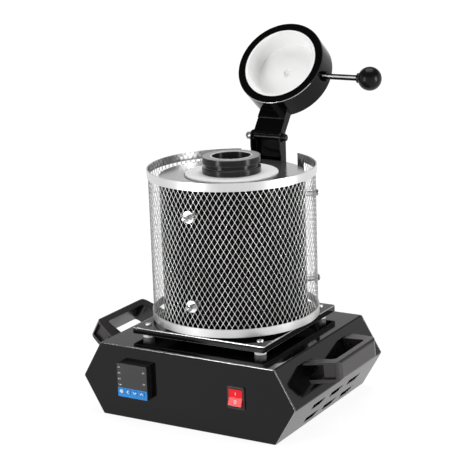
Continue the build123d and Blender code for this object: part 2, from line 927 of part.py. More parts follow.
with BuildPart() as guard_studs:
    for plane in at_each_stud(drum_radius - 3):
        with BuildSketch(plane):
            Circle(stud_diameter / 2)
        extrude(amount=flat_distance + 8.5 - drum_radius + 3)
    with BuildSketch(level(guard_bottom)):
        Circle(drum_radius)
    extrude(amount=mesh_height, mode=Mode.SUBTRACT)

with BuildPart() as guard_spacers:
    for plane in at_each_stud(drum_radius - 3):
        with BuildSketch(plane):
            Circle(stud_diameter)
            Circle(stud_diameter / 2, mode=Mode.SUBTRACT)
        extrude(amount=flat_distance - mesh_sheet - drum_radius + 3)
    with BuildSketch(level(guard_bottom)):
        Circle(drum_radius)
    extrude(amount=mesh_height, mode=Mode.SUBTRACT)

with BuildPart() as guard_washers:
    for plane in at_each_stud(flat_distance):
        with BuildSketch(plane):
            Circle(washer_diameter / 2)
            Circle(stud_diameter / 2, mode=Mode.SUBTRACT)
        extrude(amount=washer_thickness)

with BuildPart() as guard_nuts:
    for plane in at_each_stud(flat_distance + washer_thickness):
        with BuildSketch(plane):
            RegularPolygon(4.9, 6)
            Circle(stud_diameter / 2, mode=Mode.SUBTRACT)
        extrude(amount=nut_height)

# ---------------------------------------------------------------- hinge post

post_side = Plane((0, 0, 0), x_dir=(0, 1, 0), z_dir=(1, 0, 0))
web_top = hinge_z - 2.4

with BuildPart() as hinge_post:
    with BuildSketch(post_side):
        with BuildLine():
            Polyline(
                (post_front, plate_top),
                (post_front, hinge_z - 26),
                (hinge_y - post_round, hinge_z - 14),
                (hinge_y - post_round, hinge_z),
                (post_back, hinge_z),
                (post_back, plate_top),
                close=True,
            )
        make_face()
        with Locations((hinge_y, hinge_z)):
            Circle(post_round)
    extrude(amount=post_width / 2, both=True)
    with BuildSketch(Plane((0, 0, plate_top))):
        with Locations((0, post_back - post_sheet - 20)):
            Rectangle(post_width - 2 * post_sheet, 40)
    extrude(amount=hinge_z, mode=Mode.SUBTRACT)
    with BuildSketch(Plane((0, post_back, web_top))):
        Rectangle(post_width - 2 * post_sheet, 10)
    extrude(amount=hinge_z, mode=Mode.SUBTRACT)
    with BuildSketch(post_side):
        with Locations((hinge_y, hinge_z)):
            Circle(hinge_pin / 2)
    extrude(amount=post_width, both=True, mode=Mode.SUBTRACT)
    with BuildSketch(level(plate_top)):
        Circle(drum_radius)
    extrude(amount=cover_top - plate_top, mode=Mode.SUBTRACT)

with BuildPart() as post_screws:
    for height in post_screw_heights:
        screw_plane = Plane((0, post_back - post_sheet, height), x_dir=(1, 0, 0), z_dir=(0, -1, 0))
        with BuildSketch(screw_plane):
            Circle(6)
        extrude(amount=14)
    with BuildSketch(level(plate_top)):
        Circle(drum_radius)
    extrude(amount=cover_top - plate_top, mode=Mode.SUBTRACT)

hinge_axis_plane = Plane((0, hinge_y, hinge_z), x_dir=(0, 1, 0), z_dir=(1, 0, 0))
post_half = post_width / 2

with BuildPart() as hinge_bolt:
    with BuildSketch(hinge_axis_plane.offset(-post_half)):
        Circle(hinge_pin / 2)
    extrude(amount=post_width)
    with BuildSketch(hinge_axis_plane.offset(post_half)):
        Circle(6.5)
    extrude(amount=2.2)
    with BuildSketch(hinge_axis_plane.offset(post_half + 2.2)):
        Circle(5)
    extrude(amount=4)
    fillet(hinge_bolt.faces().sort_by(Axis.X)[-1].edges(), 1.8)
    with BuildSketch(hinge_axis_plane.offset(-post_half)):
        Circle(3)
    extrude(amount=-10)

with BuildPart() as hinge_nut:
    with BuildSketch(hinge_axis_plane.offset(-post_half)):
        Circle(6.5)
        Circle(3, mode=Mode.SUBTRACT)
    extrude(amount=-3.5)
    with BuildSketch(hinge_axis_plane.offset(-post_half - 3.5)):
        RegularPolygon(5.6, 6)
        Circle(3, mode=Mode.SUBTRACT)
    extrude(amount=-5)

# ---------------------------------------------------------------- lid

hinge = Vector(0, hinge_y, hinge_z)
lid_up = Vector(0, sin(radians(lid_lean)), cos(radians(lid_lean)))
lid_out = Vector(0, -lid_up.Z, lid_up.Y)
lid_origin = hinge + lid_up * lid_offset
lid_section = Plane(lid_origin, x_dir=(1, 0, 0), z_dir=lid_up * -1)
lid_axis = Axis(lid_origin, lid_out)
lid_back = lid_face - lid_depth

with BuildPart() as lid_shell:
    with BuildSketch(lid_section) as shell_section:
        with BuildLine():
            Polyline(
                (0, lid_back),
                (lid_radius, lid_back),
                (lid_radius, lid_face - lid_wall),
                (lid_radius - lid_wall, lid_face - lid_wall),
                (lid_radius - lid_wall, lid_back + lid_wall),
                (0, lid_back + lid_wall),
                close=True,
            )
        make_face()
    revolve(axis=lid_axis)
    fillet(lid_shell.edges().filter_by(GeomType.CIRCLE).group_by(lid_axis)[0], 3)

with BuildPart() as lid_rim:
    with BuildSketch(lid_section):
        with BuildLine():
            Polyline(
                (lid_window, lid_face),
                (lid_radius, lid_face),
                (lid_radius, lid_face - lid_wall),
                (lid_window, lid_face - lid_wall),
                close=True,
            )
        make_face()
    revolve(axis=lid_axis)
    fillet(lid_rim.edges().filter_by(GeomType.CIRCLE).filter_by(lambda edge: edge.radius > 60), 0.7)

with BuildPart() as lid_insulation:
    with BuildSketch(lid_section):
        with BuildLine():
            Polyline(
                (0, lid_back + lid_wall),
                (lid_radius - lid_wall, lid_back + lid_wall),
                (lid_radius - lid_wall, lid_face - dish_depth),
                (5, lid_face - dish_depth),
                (4, lid_face - dish_depth - 2),
                (0, lid_face - dish_depth - 2),
                close=True,
            )
        make_face()
    revolve(axis=lid_axis)

with BuildPart() as lid_lining:
    with BuildSketch(lid_section):
        with BuildLine():
            Polyline(
                (dish_floor, lid_face - dish_depth),
                (lid_radius - lid_wall, lid_face - dish_depth),
                (lid_radius - lid_wall, lid_face - lid_wall),
                (lid_window, lid_face - lid_wall),
                (lid_window, lid_face),
                (dish_mouth, lid_face),
                close=True,
            )
        make_face()
    revolve(axis=lid_axis)

arm_flank = Plane(hinge, x_dir=lid_up, z_dir=(1, 0, 0))

with BuildPart() as lid_arm:
    with BuildSketch(arm_flank):
        Circle(arm_back)
        with BuildLine():
            Polyline(
                (0, -arm_back),
                (lid_offset, -arm_back),
                (lid_offset, arm_web + arm_step),
                (arm_step_at, arm_web + arm_step),
                (arm_step_at, arm_web),
                (0, arm_web),
                close=True,
            )
        make_face()
    extrude(amount=arm_width / 2, both=True)
    with BuildSketch(arm_flank):
        with Locations((lid_offset / 2 - 10, arm_web - sheet - 20)):
            Rectangle(lid_offset + 20, 40)
    extrude(amount=arm_width / 2 - sheet, both=True, mode=Mode.SUBTRACT)
    with BuildSketch(arm_flank):
        with Locations((-arm_back, arm_web)):
            Rectangle(2 * arm_back, 5)
    extrude(amount=arm_width, both=True, mode=Mode.SUBTRACT)
    with BuildSketch(arm_flank):
        Circle(hinge_pin / 2 + running_fit)
    extrude(amount=arm_width, both=True, mode=Mode.SUBTRACT)
    with BuildSketch(Plane(lid_origin, x_dir=(1, 0, 0), z_dir=lid_out)):
        Circle(lid_radius)
    extrude(amount=arm_width, both=True, mode=Mode.SUBTRACT)

rod_centre = hinge + lid_up * (lid_offset - rod_toward_hinge) + lid_out * (lid_face - rod_below_face)
rod_plane = Plane(rod_centre, x_dir=(0, 1, 0), z_dir=(1, 0, 0))

with BuildPart() as lid_rod:
    with BuildSketch(rod_plane.offset(lid_radius - 3)):
        Circle(side_rod / 2)
    extrude(amount=knob_x - knob_diameter / 2 + 3 - lid_radius + 3)
    with BuildSketch(rod_plane.offset(lid_radius - 3)):
        RegularPolygon(7.5, 6)
    extrude(amount=8)
    with BuildSketch(Plane(lid_origin, x_dir=(1, 0, 0), z_dir=lid_out)):
        Circle(lid_radius)
    extrude(amount=lid_radius, both=True, mode=Mode.SUBTRACT)

with BuildPart() as lid_knob:
    with BuildSketch(Plane(rod_centre, x_dir=(1, 0, 0), z_dir=lid_up * -1)):
        with BuildLine():
            ball = CenterArc((knob_x, 0), knob_diameter / 2, 0, 155)
            Polyline(ball @ 1, (ball @ 1 - Vector(3, 0)), (knob_x - knob_diameter / 2 - 1.5, 0), ball @ 0)
        make_face()
    revolve(axis=Axis(rod_centre, (1, 0, 0)))
    with BuildSketch(rod_plane.offset(lid_radius)):
        Circle(side_rod / 2)
    extrude(amount=knob_x - knob_diameter / 2 + 3 - lid_radius, mode=Mode.SUBTRACT)

# ---------------------------------------------------------------- names and files

pieces = {
    "base_shell": base_shell,
    "front_panel": front_panel,
    "rear_panel": rear_panel,
    "controller_case": controller_case,
    "controller_window": controller_window,
    "key_strip": key_strip,
    "switch_housing": switch_housing,
    "switch_rocker": switch_rocker,
    "power_inlet": power_inlet,
    "inlet_pins": inlet_pins,
    "handle_right": handle_right,
    "handle_left": handle_left,
    "furnace_plate": furnace_plate,
    "plate_screws": plate_screws,
    "furnace_shell": furnace_shell,
    "top_cover": top_cover,
    "cover_screws": cover_screws,
    "ceramic_ring": ceramic_ring,
    "heating_chamber": heating_chamber,
    "insulation_sleeve": insulation_sleeve,
    "insulation_base": insulation_base,
    "heating_coil": heating_coil,
    "lead_rods": lead_rods,
    "lead_bushes": lead_bushes,
    "terminal_block": terminal_block,
    "thermocouple": thermocouple,
    "crucible": crucible,
    "heat_sink": heat_sink,
    "relay": relay,
    "guard_mesh": guard_mesh,
    "guard_rim_bottom": guard_rim_bottom,
    "guard_rim_top": guard_rim_top,
    "guard_end_strips": guard_end_strips,
    "guard_studs": guard_studs,
    "guard_spacers": guard_spacers,
    "guard_washers": guard_washers,
    "guard_nuts": guard_nuts,
    "hinge_post": hinge_post,
    "post_screws": post_screws,
    "hinge_bolt": hinge_bolt,
    "hinge_nut": hinge_nut,
    "lid_arm": lid_arm,
    "lid_shell": lid_shell,
    "lid_rim": lid_rim,
    "lid_insulation": lid_insulation,
    "lid_lining": lid_lining,
    "lid_rod": lid_rod,
    "lid_knob": lid_knob,
}
for number, key in enumerate(keys, start=1):
    pieces[f"key_{number}"] = key
for number, insulator in enumerate(insulators, start=1):
    pieces[f"insulator_{number}"] = insulator
for place, ear in lugs.items():
    pieces[f"handle_lug_{place}"] = ear

for name, piece in pieces.items():
    piece.part.label = name
    export_step(piece.part, f"parts/{name}.step")
print(len(pieces), "pieces")
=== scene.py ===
# %% [markdown]
# # An electric gold melting furnace
# The shape of the furnace comes packed from its CAD source: a control base, a drum on a plate, a guard
# of expanded metal, and a lid on a rear post. Blender's work is the looks. This cell loads the packed
# pieces as a fixed frame. They are in metres, with Z up and the front panel facing -Y, and they stay
# where they are: only their materials change, or a finer piece takes their place.

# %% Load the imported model
from math import cos, pi, radians, sin, tan

import bmesh
import bpy
from mathutils import Matrix, Vector


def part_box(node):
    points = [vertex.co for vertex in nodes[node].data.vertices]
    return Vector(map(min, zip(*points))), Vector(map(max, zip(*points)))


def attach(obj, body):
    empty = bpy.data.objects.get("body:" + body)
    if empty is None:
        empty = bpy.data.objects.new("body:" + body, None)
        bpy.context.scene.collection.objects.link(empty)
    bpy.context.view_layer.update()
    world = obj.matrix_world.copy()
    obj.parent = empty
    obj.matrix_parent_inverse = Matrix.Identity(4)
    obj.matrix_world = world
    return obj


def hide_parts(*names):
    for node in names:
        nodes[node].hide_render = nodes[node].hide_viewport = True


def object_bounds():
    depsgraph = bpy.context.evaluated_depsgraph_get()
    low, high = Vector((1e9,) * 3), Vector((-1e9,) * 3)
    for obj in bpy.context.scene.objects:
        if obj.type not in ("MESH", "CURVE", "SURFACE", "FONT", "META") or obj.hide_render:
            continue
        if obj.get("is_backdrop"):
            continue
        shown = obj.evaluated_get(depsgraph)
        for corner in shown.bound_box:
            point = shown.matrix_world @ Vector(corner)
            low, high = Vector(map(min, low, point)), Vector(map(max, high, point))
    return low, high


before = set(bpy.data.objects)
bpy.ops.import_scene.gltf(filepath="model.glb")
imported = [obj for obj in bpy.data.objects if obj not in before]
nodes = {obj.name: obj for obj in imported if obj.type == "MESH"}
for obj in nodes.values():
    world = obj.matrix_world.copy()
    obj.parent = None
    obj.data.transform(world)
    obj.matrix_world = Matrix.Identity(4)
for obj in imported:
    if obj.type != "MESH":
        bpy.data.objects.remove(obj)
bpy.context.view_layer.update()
mm = 0.001
print("pieces in the frame:", len(nodes))

# %% [markdown]
# The photograph was taken with a long lens from the front right and a little above. A camera could be
# dragged into place by hand, but numbers can be repeated: it stands back from a target along a
# direction given by two angles, and rolls slightly about that direction. The roll is small, yet it
# tilts every upright edge.

# %% Place the camera
def set_out(name, data):
    """Make an object of a camera, lamp, curve or mesh, put it in the scene and return it."""
    made = bpy.data.objects.new(name, data)
    bpy.context.scene.collection.objects.link(made)
    return made


camera_azimuth = radians(30.7)
camera_elevation = radians(14.49)
camera_roll = radians(-1.89)
camera_target = Vector((10.28, 0, 232.63)) * mm
camera_distance = 2103.46 * mm
camera_lens, sensor_width, far_clip = 118.26, 36, 60

sight = Vector((-sin(camera_azimuth) * cos(camera_elevation),
                cos(camera_azimuth) * cos(camera_elevation), -sin(camera_elevation)))
level_right = Vector((cos(camera_azimuth), sin(camera_azimuth), 0))
level_up = level_right.cross(sight)
right = cos(camera_roll) * level_right + sin(camera_roll) * level_up
up = cos(camera_roll) * level_up - sin(camera_roll) * level_right

camera = set_out("camera", bpy.data.cameras.new("camera"))
camera.data.lens = camera_lens
camera.data.sensor_width = sensor_width
camera.data.clip_end = far_clip
camera.matrix_world = Matrix.Translation(camera_target - sight * camera_distance) @ Matrix(
    (right, up, -sight)).transposed().to_4x4()
bpy.context.scene.camera = camera
bpy.context.scene.view_settings.view_transform = "Standard"
print("camera at", [round(c, 3) for c in camera.matrix_world.translation])

# %% [markdown]
# Every finish below is a small graph of nodes. It could be drawn by hand in the node editor, but in
# code it can be read from top to bottom. Helpers keep it short: one adds a node and sets its plain
# values, one joins an output to an input, one starts a group, and one turns a number into a grey. They
# name sockets as Blender's own interface does.

# %% Helpers for node graphs
def add(tree, kind, **settings):
    """Add a node; capitalised settings are socket values and the others are the node's own."""
    item = tree.nodes.new(kind)
    for name, value in settings.items():
        if name[0].isupper():
            item.inputs[name.replace("_", " ")].default_value = value
        else:
            setattr(item, name, value)
    return item


def wire(tree, source, output, target, socket):
    """Join one output to one input, each given by its name or its number."""
    tree.links.new(source.outputs[output], target.inputs[socket])


def new_group(name, inputs, outputs):
    """Make an empty shader group with named sockets, and return it with its two ends."""
    group = bpy.data.node_groups.new(name, "ShaderNodeTree")
    for label, kind, value in inputs:
        socket = group.interface.new_socket(label, in_out="INPUT", socket_type="NodeSocket" + kind)
        if value is not None:
            socket.default_value = value
    for label, kind in outputs:
        group.interface.new_socket(label, in_out="OUTPUT", socket_type="NodeSocket" + kind)
    return group, group.nodes.new("NodeGroupInput"), group.nodes.new("NodeGroupOutput")


def grey(level):
    """Return a grey colour with full alpha."""
    return (level, level, level, 1)


print("node helpers ready")

# %% [markdown]
# ## The studio
# Glossy black paint shows its surroundings more than itself, so the surroundings matter as much as
# the paint. The object stands on a wide white floor in a pale room. A picture of a studio could
# surround it, but a ramp by height is enough: the room is a dim grey, paler near the horizon, so that
# level faces seen at a low angle shine and upright ones stay black.

# %% The room
horizon_grey, overhead_grey = 0.85, 0.13
horizon_ends, overhead_starts = 0.26, 0.5
room = bpy.data.worlds.new("pale room")
bpy.context.scene.world = room
room.use_nodes = True
tree = room.node_tree
tree.nodes.clear()
around = add(tree, "ShaderNodeTexCoord")
split = add(tree, "ShaderNodeSeparateXYZ")
rise = add(tree, "ShaderNodeMapRange", From_Min=horizon_ends, From_Max=overhead_starts)
ramp = add(tree, "ShaderNodeMix", data_type="RGBA")
ramp.inputs["A"].default_value = grey(horizon_grey)
ramp.inputs["B"].default_value = grey(overhead_grey)
sky = add(tree, "ShaderNodeBackground", Strength=1.0)
wire(tree, around, "Generated", split, "Vector")
wire(tree, split, "Z", rise, "Value")
wire(tree, rise, "Result", ramp, "Factor")
wire(tree, ramp, "Result", sky, "Color")
wire(tree, sky, "Background", add(tree, "ShaderNodeOutputWorld"), "Surface")
print("room from", horizon_grey, "at the horizon to", overhead_grey, "overhead")

# %% [markdown]
# The lamps are softboxes, a cloth front lit from behind. A glowing plane could stand for one, but an
# area lamp gives the same even patch with less noise. Two narrow ones at the furnace's own height
# draw upright bands in the gloss, and a large one behind and above lights the level faces.

# %% Softboxes
drum_middle_height = 0.22


def softbox(name, bearing, height, away, size, watts):
    """Hang a rectangular area lamp on a bearing round the camera's own, aimed at the drum."""
    turn = camera_azimuth + radians(bearing)
    place = Vector((sin(turn) * away, -cos(turn) * away, height))
    lamp = set_out(name, bpy.data.lights.new(name, "AREA"))
    lamp.data.shape = "RECTANGLE"
    lamp.data.size, lamp.data.size_y = size
    lamp.data.energy = watts
    from_drum = place - Vector((0, 0, drum_middle_height))
    lamp.matrix_world = Matrix.Translation(place) @ from_drum.to_track_quat("Z", "Y").to_matrix().to_4x4()


softbox("softbox left", bearing=-54, height=0.40, away=1.2, size=(0.24, 0.72), watts=7.5)
softbox("softbox right", bearing=66, height=0.40, away=1.2, size=(0.22, 0.72), watts=8)
softbox("softbox overhead", bearing=165, height=2.2, away=0.45, size=(1.5, 1.5), watts=26)
print("three softboxes")

# %% [markdown]
# The floor is white to the eye because a photographer lights it separately. More lamps would wash out
# the furnace, so the floor's material adds a plain white instead, for rays that come from the camera,
# from glossy paint or through glass, and a little more of it further away, where the lamps give less.
# It keeps a fifth of its real shading, so the furnace still drops a soft shadow.

# %% The floor
floor_half = 40.0
paper_grey = 0.86
glow_near, glow_far = 1.13, 1.22
glow_starts, glow_full = 0.4, 2.5
glow_share = 0.8
floor = set_out("floor", bpy.data.meshes.new("floor"))
floor.data.from_pydata([(x, y, 0) for x, y in ((-1, -1), (1, -1), (1, 1), (-1, 1))], [], [(0, 1, 2, 3)])
floor.data.transform(Matrix.Scale(floor_half, 4))
floor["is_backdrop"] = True
paper = bpy.data.materials.new("white floor")
paper.use_nodes = True
tree = paper.node_tree
tree.nodes.clear()
shade = add(tree, "ShaderNodeBsdfDiffuse", Color=grey(paper_grey))
glow = add(tree, "ShaderNodeEmission", Color=grey(1))
place = add(tree, "ShaderNodeTexCoord")
away = add(tree, "ShaderNodeVectorMath", operation="LENGTH")
fill = add(tree, "ShaderNodeMapRange", From_Min=glow_starts, From_Max=glow_full, To_Min=glow_near,
           To_Max=glow_far)
wire(tree, place, "Object", away, 0)
wire(tree, away, "Value", fill, "Value")
wire(tree, fill, "Result", glow, "Strength")
path = add(tree, "ShaderNodeLightPath")
seen_or_glossy = add(tree, "ShaderNodeMath", operation="MAXIMUM")
any_of_three = add(tree, "ShaderNodeMath", operation="MAXIMUM")
share = add(tree, "ShaderNodeMath", operation="MULTIPLY")
share.inputs[1].default_value = glow_share
both = add(tree, "ShaderNodeMixShader")
wire(tree, path, "Is Camera Ray", seen_or_glossy, 0)
wire(tree, path, "Is Glossy Ray", seen_or_glossy, 1)
wire(tree, seen_or_glossy, 0, any_of_three, 0)
wire(tree, path, "Is Transmission Ray", any_of_three, 1)
wire(tree, any_of_three, 0, share, 0)
wire(tree, share, 0, both, "Fac")
wire(tree, shade, "BSDF", both, 1)
wire(tree, glow, "Emission", both, 2)
wire(tree, both, "Shader", add(tree, "ShaderNodeOutputMaterial"), "Surface")
floor.data.materials.append(paper)
print("floor", 2 * floor_half, "m wide")

# %% [markdown]
# ## Effects that several finishes share
# Real surfaces are never one flat value. The same few effects turn up again and again, so each is a
# group with named inputs, built once and placed in every finish with its own sizes. The first is
# colour: sprayed, moulded and rolled surfaces drift slowly between two near tones.

# %% Group: two tones
two_tones, ends_in, ends_out = new_group(
    "two tones", [("Vector", "Vector", None), ("Scale", "Float", 25.0), ("First", "Color", None),
                  ("Second", "Color", None)], [("Color", "Color")])
patch = add(two_tones, "ShaderNodeTexNoise", Detail=3.0)
mixed = add(two_tones, "ShaderNodeMix", data_type="RGBA")
wire(two_tones, ends_in, "Vector", patch, "Vector")
wire(two_tones, ends_in, "Scale", patch, "Scale")
wire(two_tones, patch, "Fac", mixed, "Factor")
wire(two_tones, ends_in, "First", mixed, "A")
wire(two_tones, ends_in, "Second", mixed, "B")
wire(two_tones, mixed, "Result", ends_out, "Color")
print("group:", two_tones.name)

# %% [markdown]
# Grain is the fine roughness that a fingertip feels: orange peel, spark erosion, cast skin. It could
# be modelled, at millions of faces; as a height for a bump it costs nothing.

# %% Group: grain
grain, ends_in, ends_out = new_group(
    "grain", [("Vector", "Vector", None), ("Scale", "Float", 800.0)], [("Height", "Float")])
noise = add(grain, "ShaderNodeTexNoise", Detail=2.0, Roughness=0.6)
wire(grain, ends_in, "Vector", noise, "Vector")
wire(grain, ends_in, "Scale", noise, "Scale")
wire(grain, noise, "Fac", ends_out, "Height")
print("group:", grain.name)

# %% [markdown]
# Smudges are what hands and dust leave: they change the gloss and not the colour. The group turns a
# distorted noise into a roughness between a low and a high bound.

# %% Group: smudges
smudges, ends_in, ends_out = new_group(
    "smudges", [("Vector", "Vector", None), ("Scale", "Float", 18.0), ("Low", "Float", 0.2),
                ("High", "Float", 0.3)], [("Value", "Float")])
noise = add(smudges, "ShaderNodeTexNoise", Detail=4.0, Roughness=0.55, Distortion=0.6)
spread = add(smudges, "ShaderNodeMapRange", From_Min=0.3, From_Max=0.7)
wire(smudges, ends_in, "Vector", noise, "Vector")
wire(smudges, ends_in, "Scale", noise, "Scale")
wire(smudges, noise, "Fac", spread, "Value")
wire(smudges, ends_in, "Low", spread, "To Min")
wire(smudges, ends_in, "High", spread, "To Max")
wire(smudges, spread, "Result", ends_out, "Value")
print("group:", smudges.name)

# %% [markdown]
# No real edge is sharp. The Bevel node bends the normal near an edge as if it were rounded, and where that
# normal differs from the flat one there is an edge, which gives a mask. A second group adds a paler tone under
# that mask: a painted highlight along the edge.

# %% Groups: soft edges and painted edge highlights
soft_edges, ends_in, ends_out = new_group(
    "soft edges", [("Radius", "Float", 0.0006), ("Strength", "Float", 1.0)],
    [("Mask", "Float"), ("Normal", "Vector")])
rounding = add(soft_edges, "ShaderNodeBevel", samples=4)
facing = add(soft_edges, "ShaderNodeNewGeometry")
turned = add(soft_edges, "ShaderNodeVectorMath", operation="DOT_PRODUCT")
mask = add(soft_edges, "ShaderNodeMapRange", From_Min=0.99, From_Max=0.75, To_Min=0.0)
wire(soft_edges, ends_in, "Radius", rounding, "Radius")
wire(soft_edges, rounding, "Normal", turned, 0)
wire(soft_edges, facing, "Normal", turned, 1)
wire(soft_edges, turned, "Value", mask, "Value")
wire(soft_edges, ends_in, "Strength", mask, "To Max")
wire(soft_edges, mask, "Result", ends_out, "Mask")
wire(soft_edges, rounding, "Normal", ends_out, "Normal")

highlight_edges, ends_in, ends_out = new_group(
    "highlight edges", [("Tone", "Color", None), ("Mask", "Float", 0.0), ("Wear", "Color", None)],
    [("Color", "Color")])
paler = add(highlight_edges, "ShaderNodeMix", data_type="RGBA", blend_type="ADD")
wire(highlight_edges, ends_in, "Mask", paler, "Factor")
wire(highlight_edges, ends_in, "Tone", paler, "A")
wire(highlight_edges, ends_in, "Wear", paler, "B")
wire(highlight_edges, paler, "Result", ends_out, "Color")
print("groups:", soft_edges.name, "and", highlight_edges.name)

# %% [markdown]
# Rolled and drawn metal keeps fine lines along one direction. Noise squeezed across that direction
# turns into such lines, so the group only multiplies the coordinates before it asks for noise.

# %% Group: brushing
brushing, ends_in, ends_out = new_group(
    "brushing", [("Vector", "Vector", None), ("Stretch", "Vector", (1, 1, 60)), ("Scale", "Float", 40.0)],
    [("Height", "Float")])
squeeze = add(brushing, "ShaderNodeVectorMath", operation="MULTIPLY")
noise = add(brushing, "ShaderNodeTexNoise", Detail=3.0, Roughness=0.7)
wire(brushing, ends_in, "Vector", squeeze, 0)
wire(brushing, ends_in, "Stretch", squeeze, 1)
wire(brushing, squeeze, "Vector", noise, "Vector")
wire(brushing, ends_in, "Scale", noise, "Scale")
wire(brushing, noise, "Fac", ends_out, "Height")
print("group:", brushing.name)

# %% [markdown]
# ## Finishes
# Each finish starts from the same three parts: the surface shader with its plain constants, a
# colour that drifts between two tones, and a gloss that comes from the smudges. The first helper sets
# these up and hands back the graph, so a finish only adds what makes it special. Most finishes need
# no more than a fine grain over soft edges, which the last helper gives in one call.

# %% Helpers that start a finish
def finish_of(name, tones, gloss, drift=25.0, smudge=18.0, **constants):
    """Start a material: two tones, a range of roughness, and plain constants on the shader."""
    material = bpy.data.materials.new(name)
    material.use_nodes = True
    tree = material.node_tree
    tree.nodes.clear()
    shader = add(tree, "ShaderNodeBsdfPrincipled", **constants)
    place = add(tree, "ShaderNodeTexCoord")
    wire(tree, shader, "BSDF", add(tree, "ShaderNodeOutputMaterial"), "Surface")
    first, second = ((*tone, 1) for tone in tones)
    tone = add(tree, "ShaderNodeGroup", node_tree=two_tones, Scale=drift, First=first, Second=second)
    marks = add(tree, "ShaderNodeGroup", node_tree=smudges, Scale=smudge, Low=gloss[0], High=gloss[1])
    wire(tree, place, "Object", tone, "Vector")
    wire(tree, tone, "Color", shader, "Base Color")
    wire(tree, place, "Object", marks, "Vector")
    wire(tree, marks, "Value", shader, "Roughness")
    return material, tree, shader, place, tone


def bumped(tree, shader, height, output, strength, depth, edges=None):
    """Feed a height into the shader's normal, over a rounded-edge normal where one is given."""
    bump = add(tree, "ShaderNodeBump", Strength=strength, Distance=depth * mm)
    wire(tree, height, output, bump, "Height")
    if edges is not None:
        wire(tree, edges, "Normal", bump, "Normal")
    wire(tree, bump, "Normal", shader, "Normal")


def grained(tree, shader, place, scale, strength, depth, edge):
    """Give a finish a fine grain over slightly rounded edges, and return the edges."""
    fine = add(tree, "ShaderNodeGroup", node_tree=grain, Scale=scale)
    edges = add(tree, "ShaderNodeGroup", node_tree=soft_edges, Radius=edge * mm)
    wire(tree, place, "Object", fine, "Vector")
    bumped(tree, shader, fine, "Height", strength, depth, edges)
    return edges


def grained_finish(name, tones, gloss, scale, strength, depth, edge, **others):
    """Make a whole finish of two tones, smudged gloss and a fine grain, and return its material."""
    material, tree, shader, place, tone = finish_of(name, tones, gloss, **others)
    grained(tree, shader, place, scale, strength, depth, edge)
    return material


print("finish helpers ready")

# %% [markdown]
# ** Black enamel** covers the base, the plate, the drum and the lid. It is sprayed and baked: nearly black, glossy, with a faint orange-peel ripple. A plain black shader would look like a hole in the picture, so the bent edges get a paler painted highlight and the ripple breaks the reflections. The drum's cover is enamel under a clear coat, and its grey tone is a painted reflection.

# %% Black enamel
def paint_edge_highlight(tree, shader, tone, edges, wear):
    """Add the painted edge highlight group between a finish's tone and its shader."""
    with_highlight = add(tree, "ShaderNodeGroup", node_tree=highlight_edges, Wear=grey(wear))
    wire(tree, edges, "Mask", with_highlight, "Mask")
    wire(tree, tone, "Color", with_highlight, "Tone")
    wire(tree, with_highlight, "Color", shader, "Base Color")


def enamel(name, gloss, level, wear):
    """A sprayed black coat with orange peel and a painted edge highlight of a given brightness."""
    material, tree, shader, place, tone = finish_of(
        name, ((0.0016, 0.0016, 0.0018), (0.0028, 0.0028, 0.003)), gloss, Specular_IOR_Level=level)
    edges = grained(tree, shader, place, scale=420, strength=0.05, depth=0.05, edge=1.1)
    paint_edge_highlight(tree, shader, tone, edges, wear)
    return material


# Each enamel's last number is the grey of its painted edge highlight.
black_enamel = enamel("black enamel", (0.05, 0.10), level=0.25, wear=0.42)
lid_enamel = enamel("lid enamel", (0.06, 0.12), level=0.10, wear=0.12)
drum_enamel = enamel("drum enamel", (0.10, 0.16), level=0.03, wear=0.2)
# The cover's grey tone is a painted reflection of the pale room on black enamel, under a real clear coat.
cover_enamel_reflection = grained_finish(
    "cover enamel, painted reflection", ((0.07, 0.07, 0.07), (0.09, 0.09, 0.09)), (0.16, 0.22), scale=420, strength=0.05,
    depth=0.05, edge=0.6, Specular_IOR_Level=1.0, Coat_Weight=1.0, Coat_Roughness=0.14)
print("black enamel, thinner on the lid and the drum, and a grey lacquer on the drum's cover")

# %% [markdown]
# The lid's side rod is polished black, with a pale line along its middle that is a painted highlight. A line
# that follows the eye would slide in other views, so this painted highlight is fixed to the rod: it is the
# strip nearest to a plane through the rod's axis.

# %% Polished rod
highlight_tilt = radians(16.7)
highlight_half, highlight_fades = 0.7 * mm, 1.2 * mm
polished_rod, tree, shader, place, tone = finish_of(
    "polished rod", ((0.002, 0.002, 0.002), (0.004, 0.004, 0.004)), (0.12, 0.18), Specular_IOR_Level=0.1)
rod_middle = sum(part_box("lid_rod"), Vector()) / 2
across_highlight = Vector((0, sin(highlight_tilt), cos(highlight_tilt)))
aside = add(tree, "ShaderNodeVectorMath", operation="DOT_PRODUCT")
aside.inputs[1].default_value = across_highlight
from_plane = add(tree, "ShaderNodeMath", operation="SUBTRACT")
from_plane.inputs[1].default_value = rod_middle.dot(across_highlight)
distance = add(tree, "ShaderNodeMath", operation="ABSOLUTE")
# The pale line is a painted highlight.
painted_highlight = add(tree, "ShaderNodeMapRange", From_Min=highlight_half, From_Max=highlight_fades, To_Min=1.0, To_Max=0.0)
lit = add(tree, "ShaderNodeMix", data_type="RGBA")
lit.inputs["B"].default_value = grey(0.8)
wire(tree, place, "Object", aside, 0)
wire(tree, aside, "Value", from_plane, 0)
wire(tree, from_plane, 0, distance, 0)
wire(tree, distance, 0, painted_highlight, "Value")
wire(tree, painted_highlight, "Result", lit, "Factor")
wire(tree, tone, "Color", lit, "A")
wire(tree, lit, "Result", shader, "Base Color")
print("polished rod, with its line", 2000 * highlight_half, "mm wide")

# %% [markdown]
# **Plastics.** The controller, the switch housing and the inlet are moulded in black with a fine
# spark-eroded grain. The handles are a softer, slightly brown thermoset with a coarser grain, and the
# knob is polished phenolic. The display window is smoked acrylic, the key strip is a printed blue
# film and the rocker is a clear red plastic that lets light in under its surface. They differ in
# tone, gloss and grain alone, so one helper makes them all.

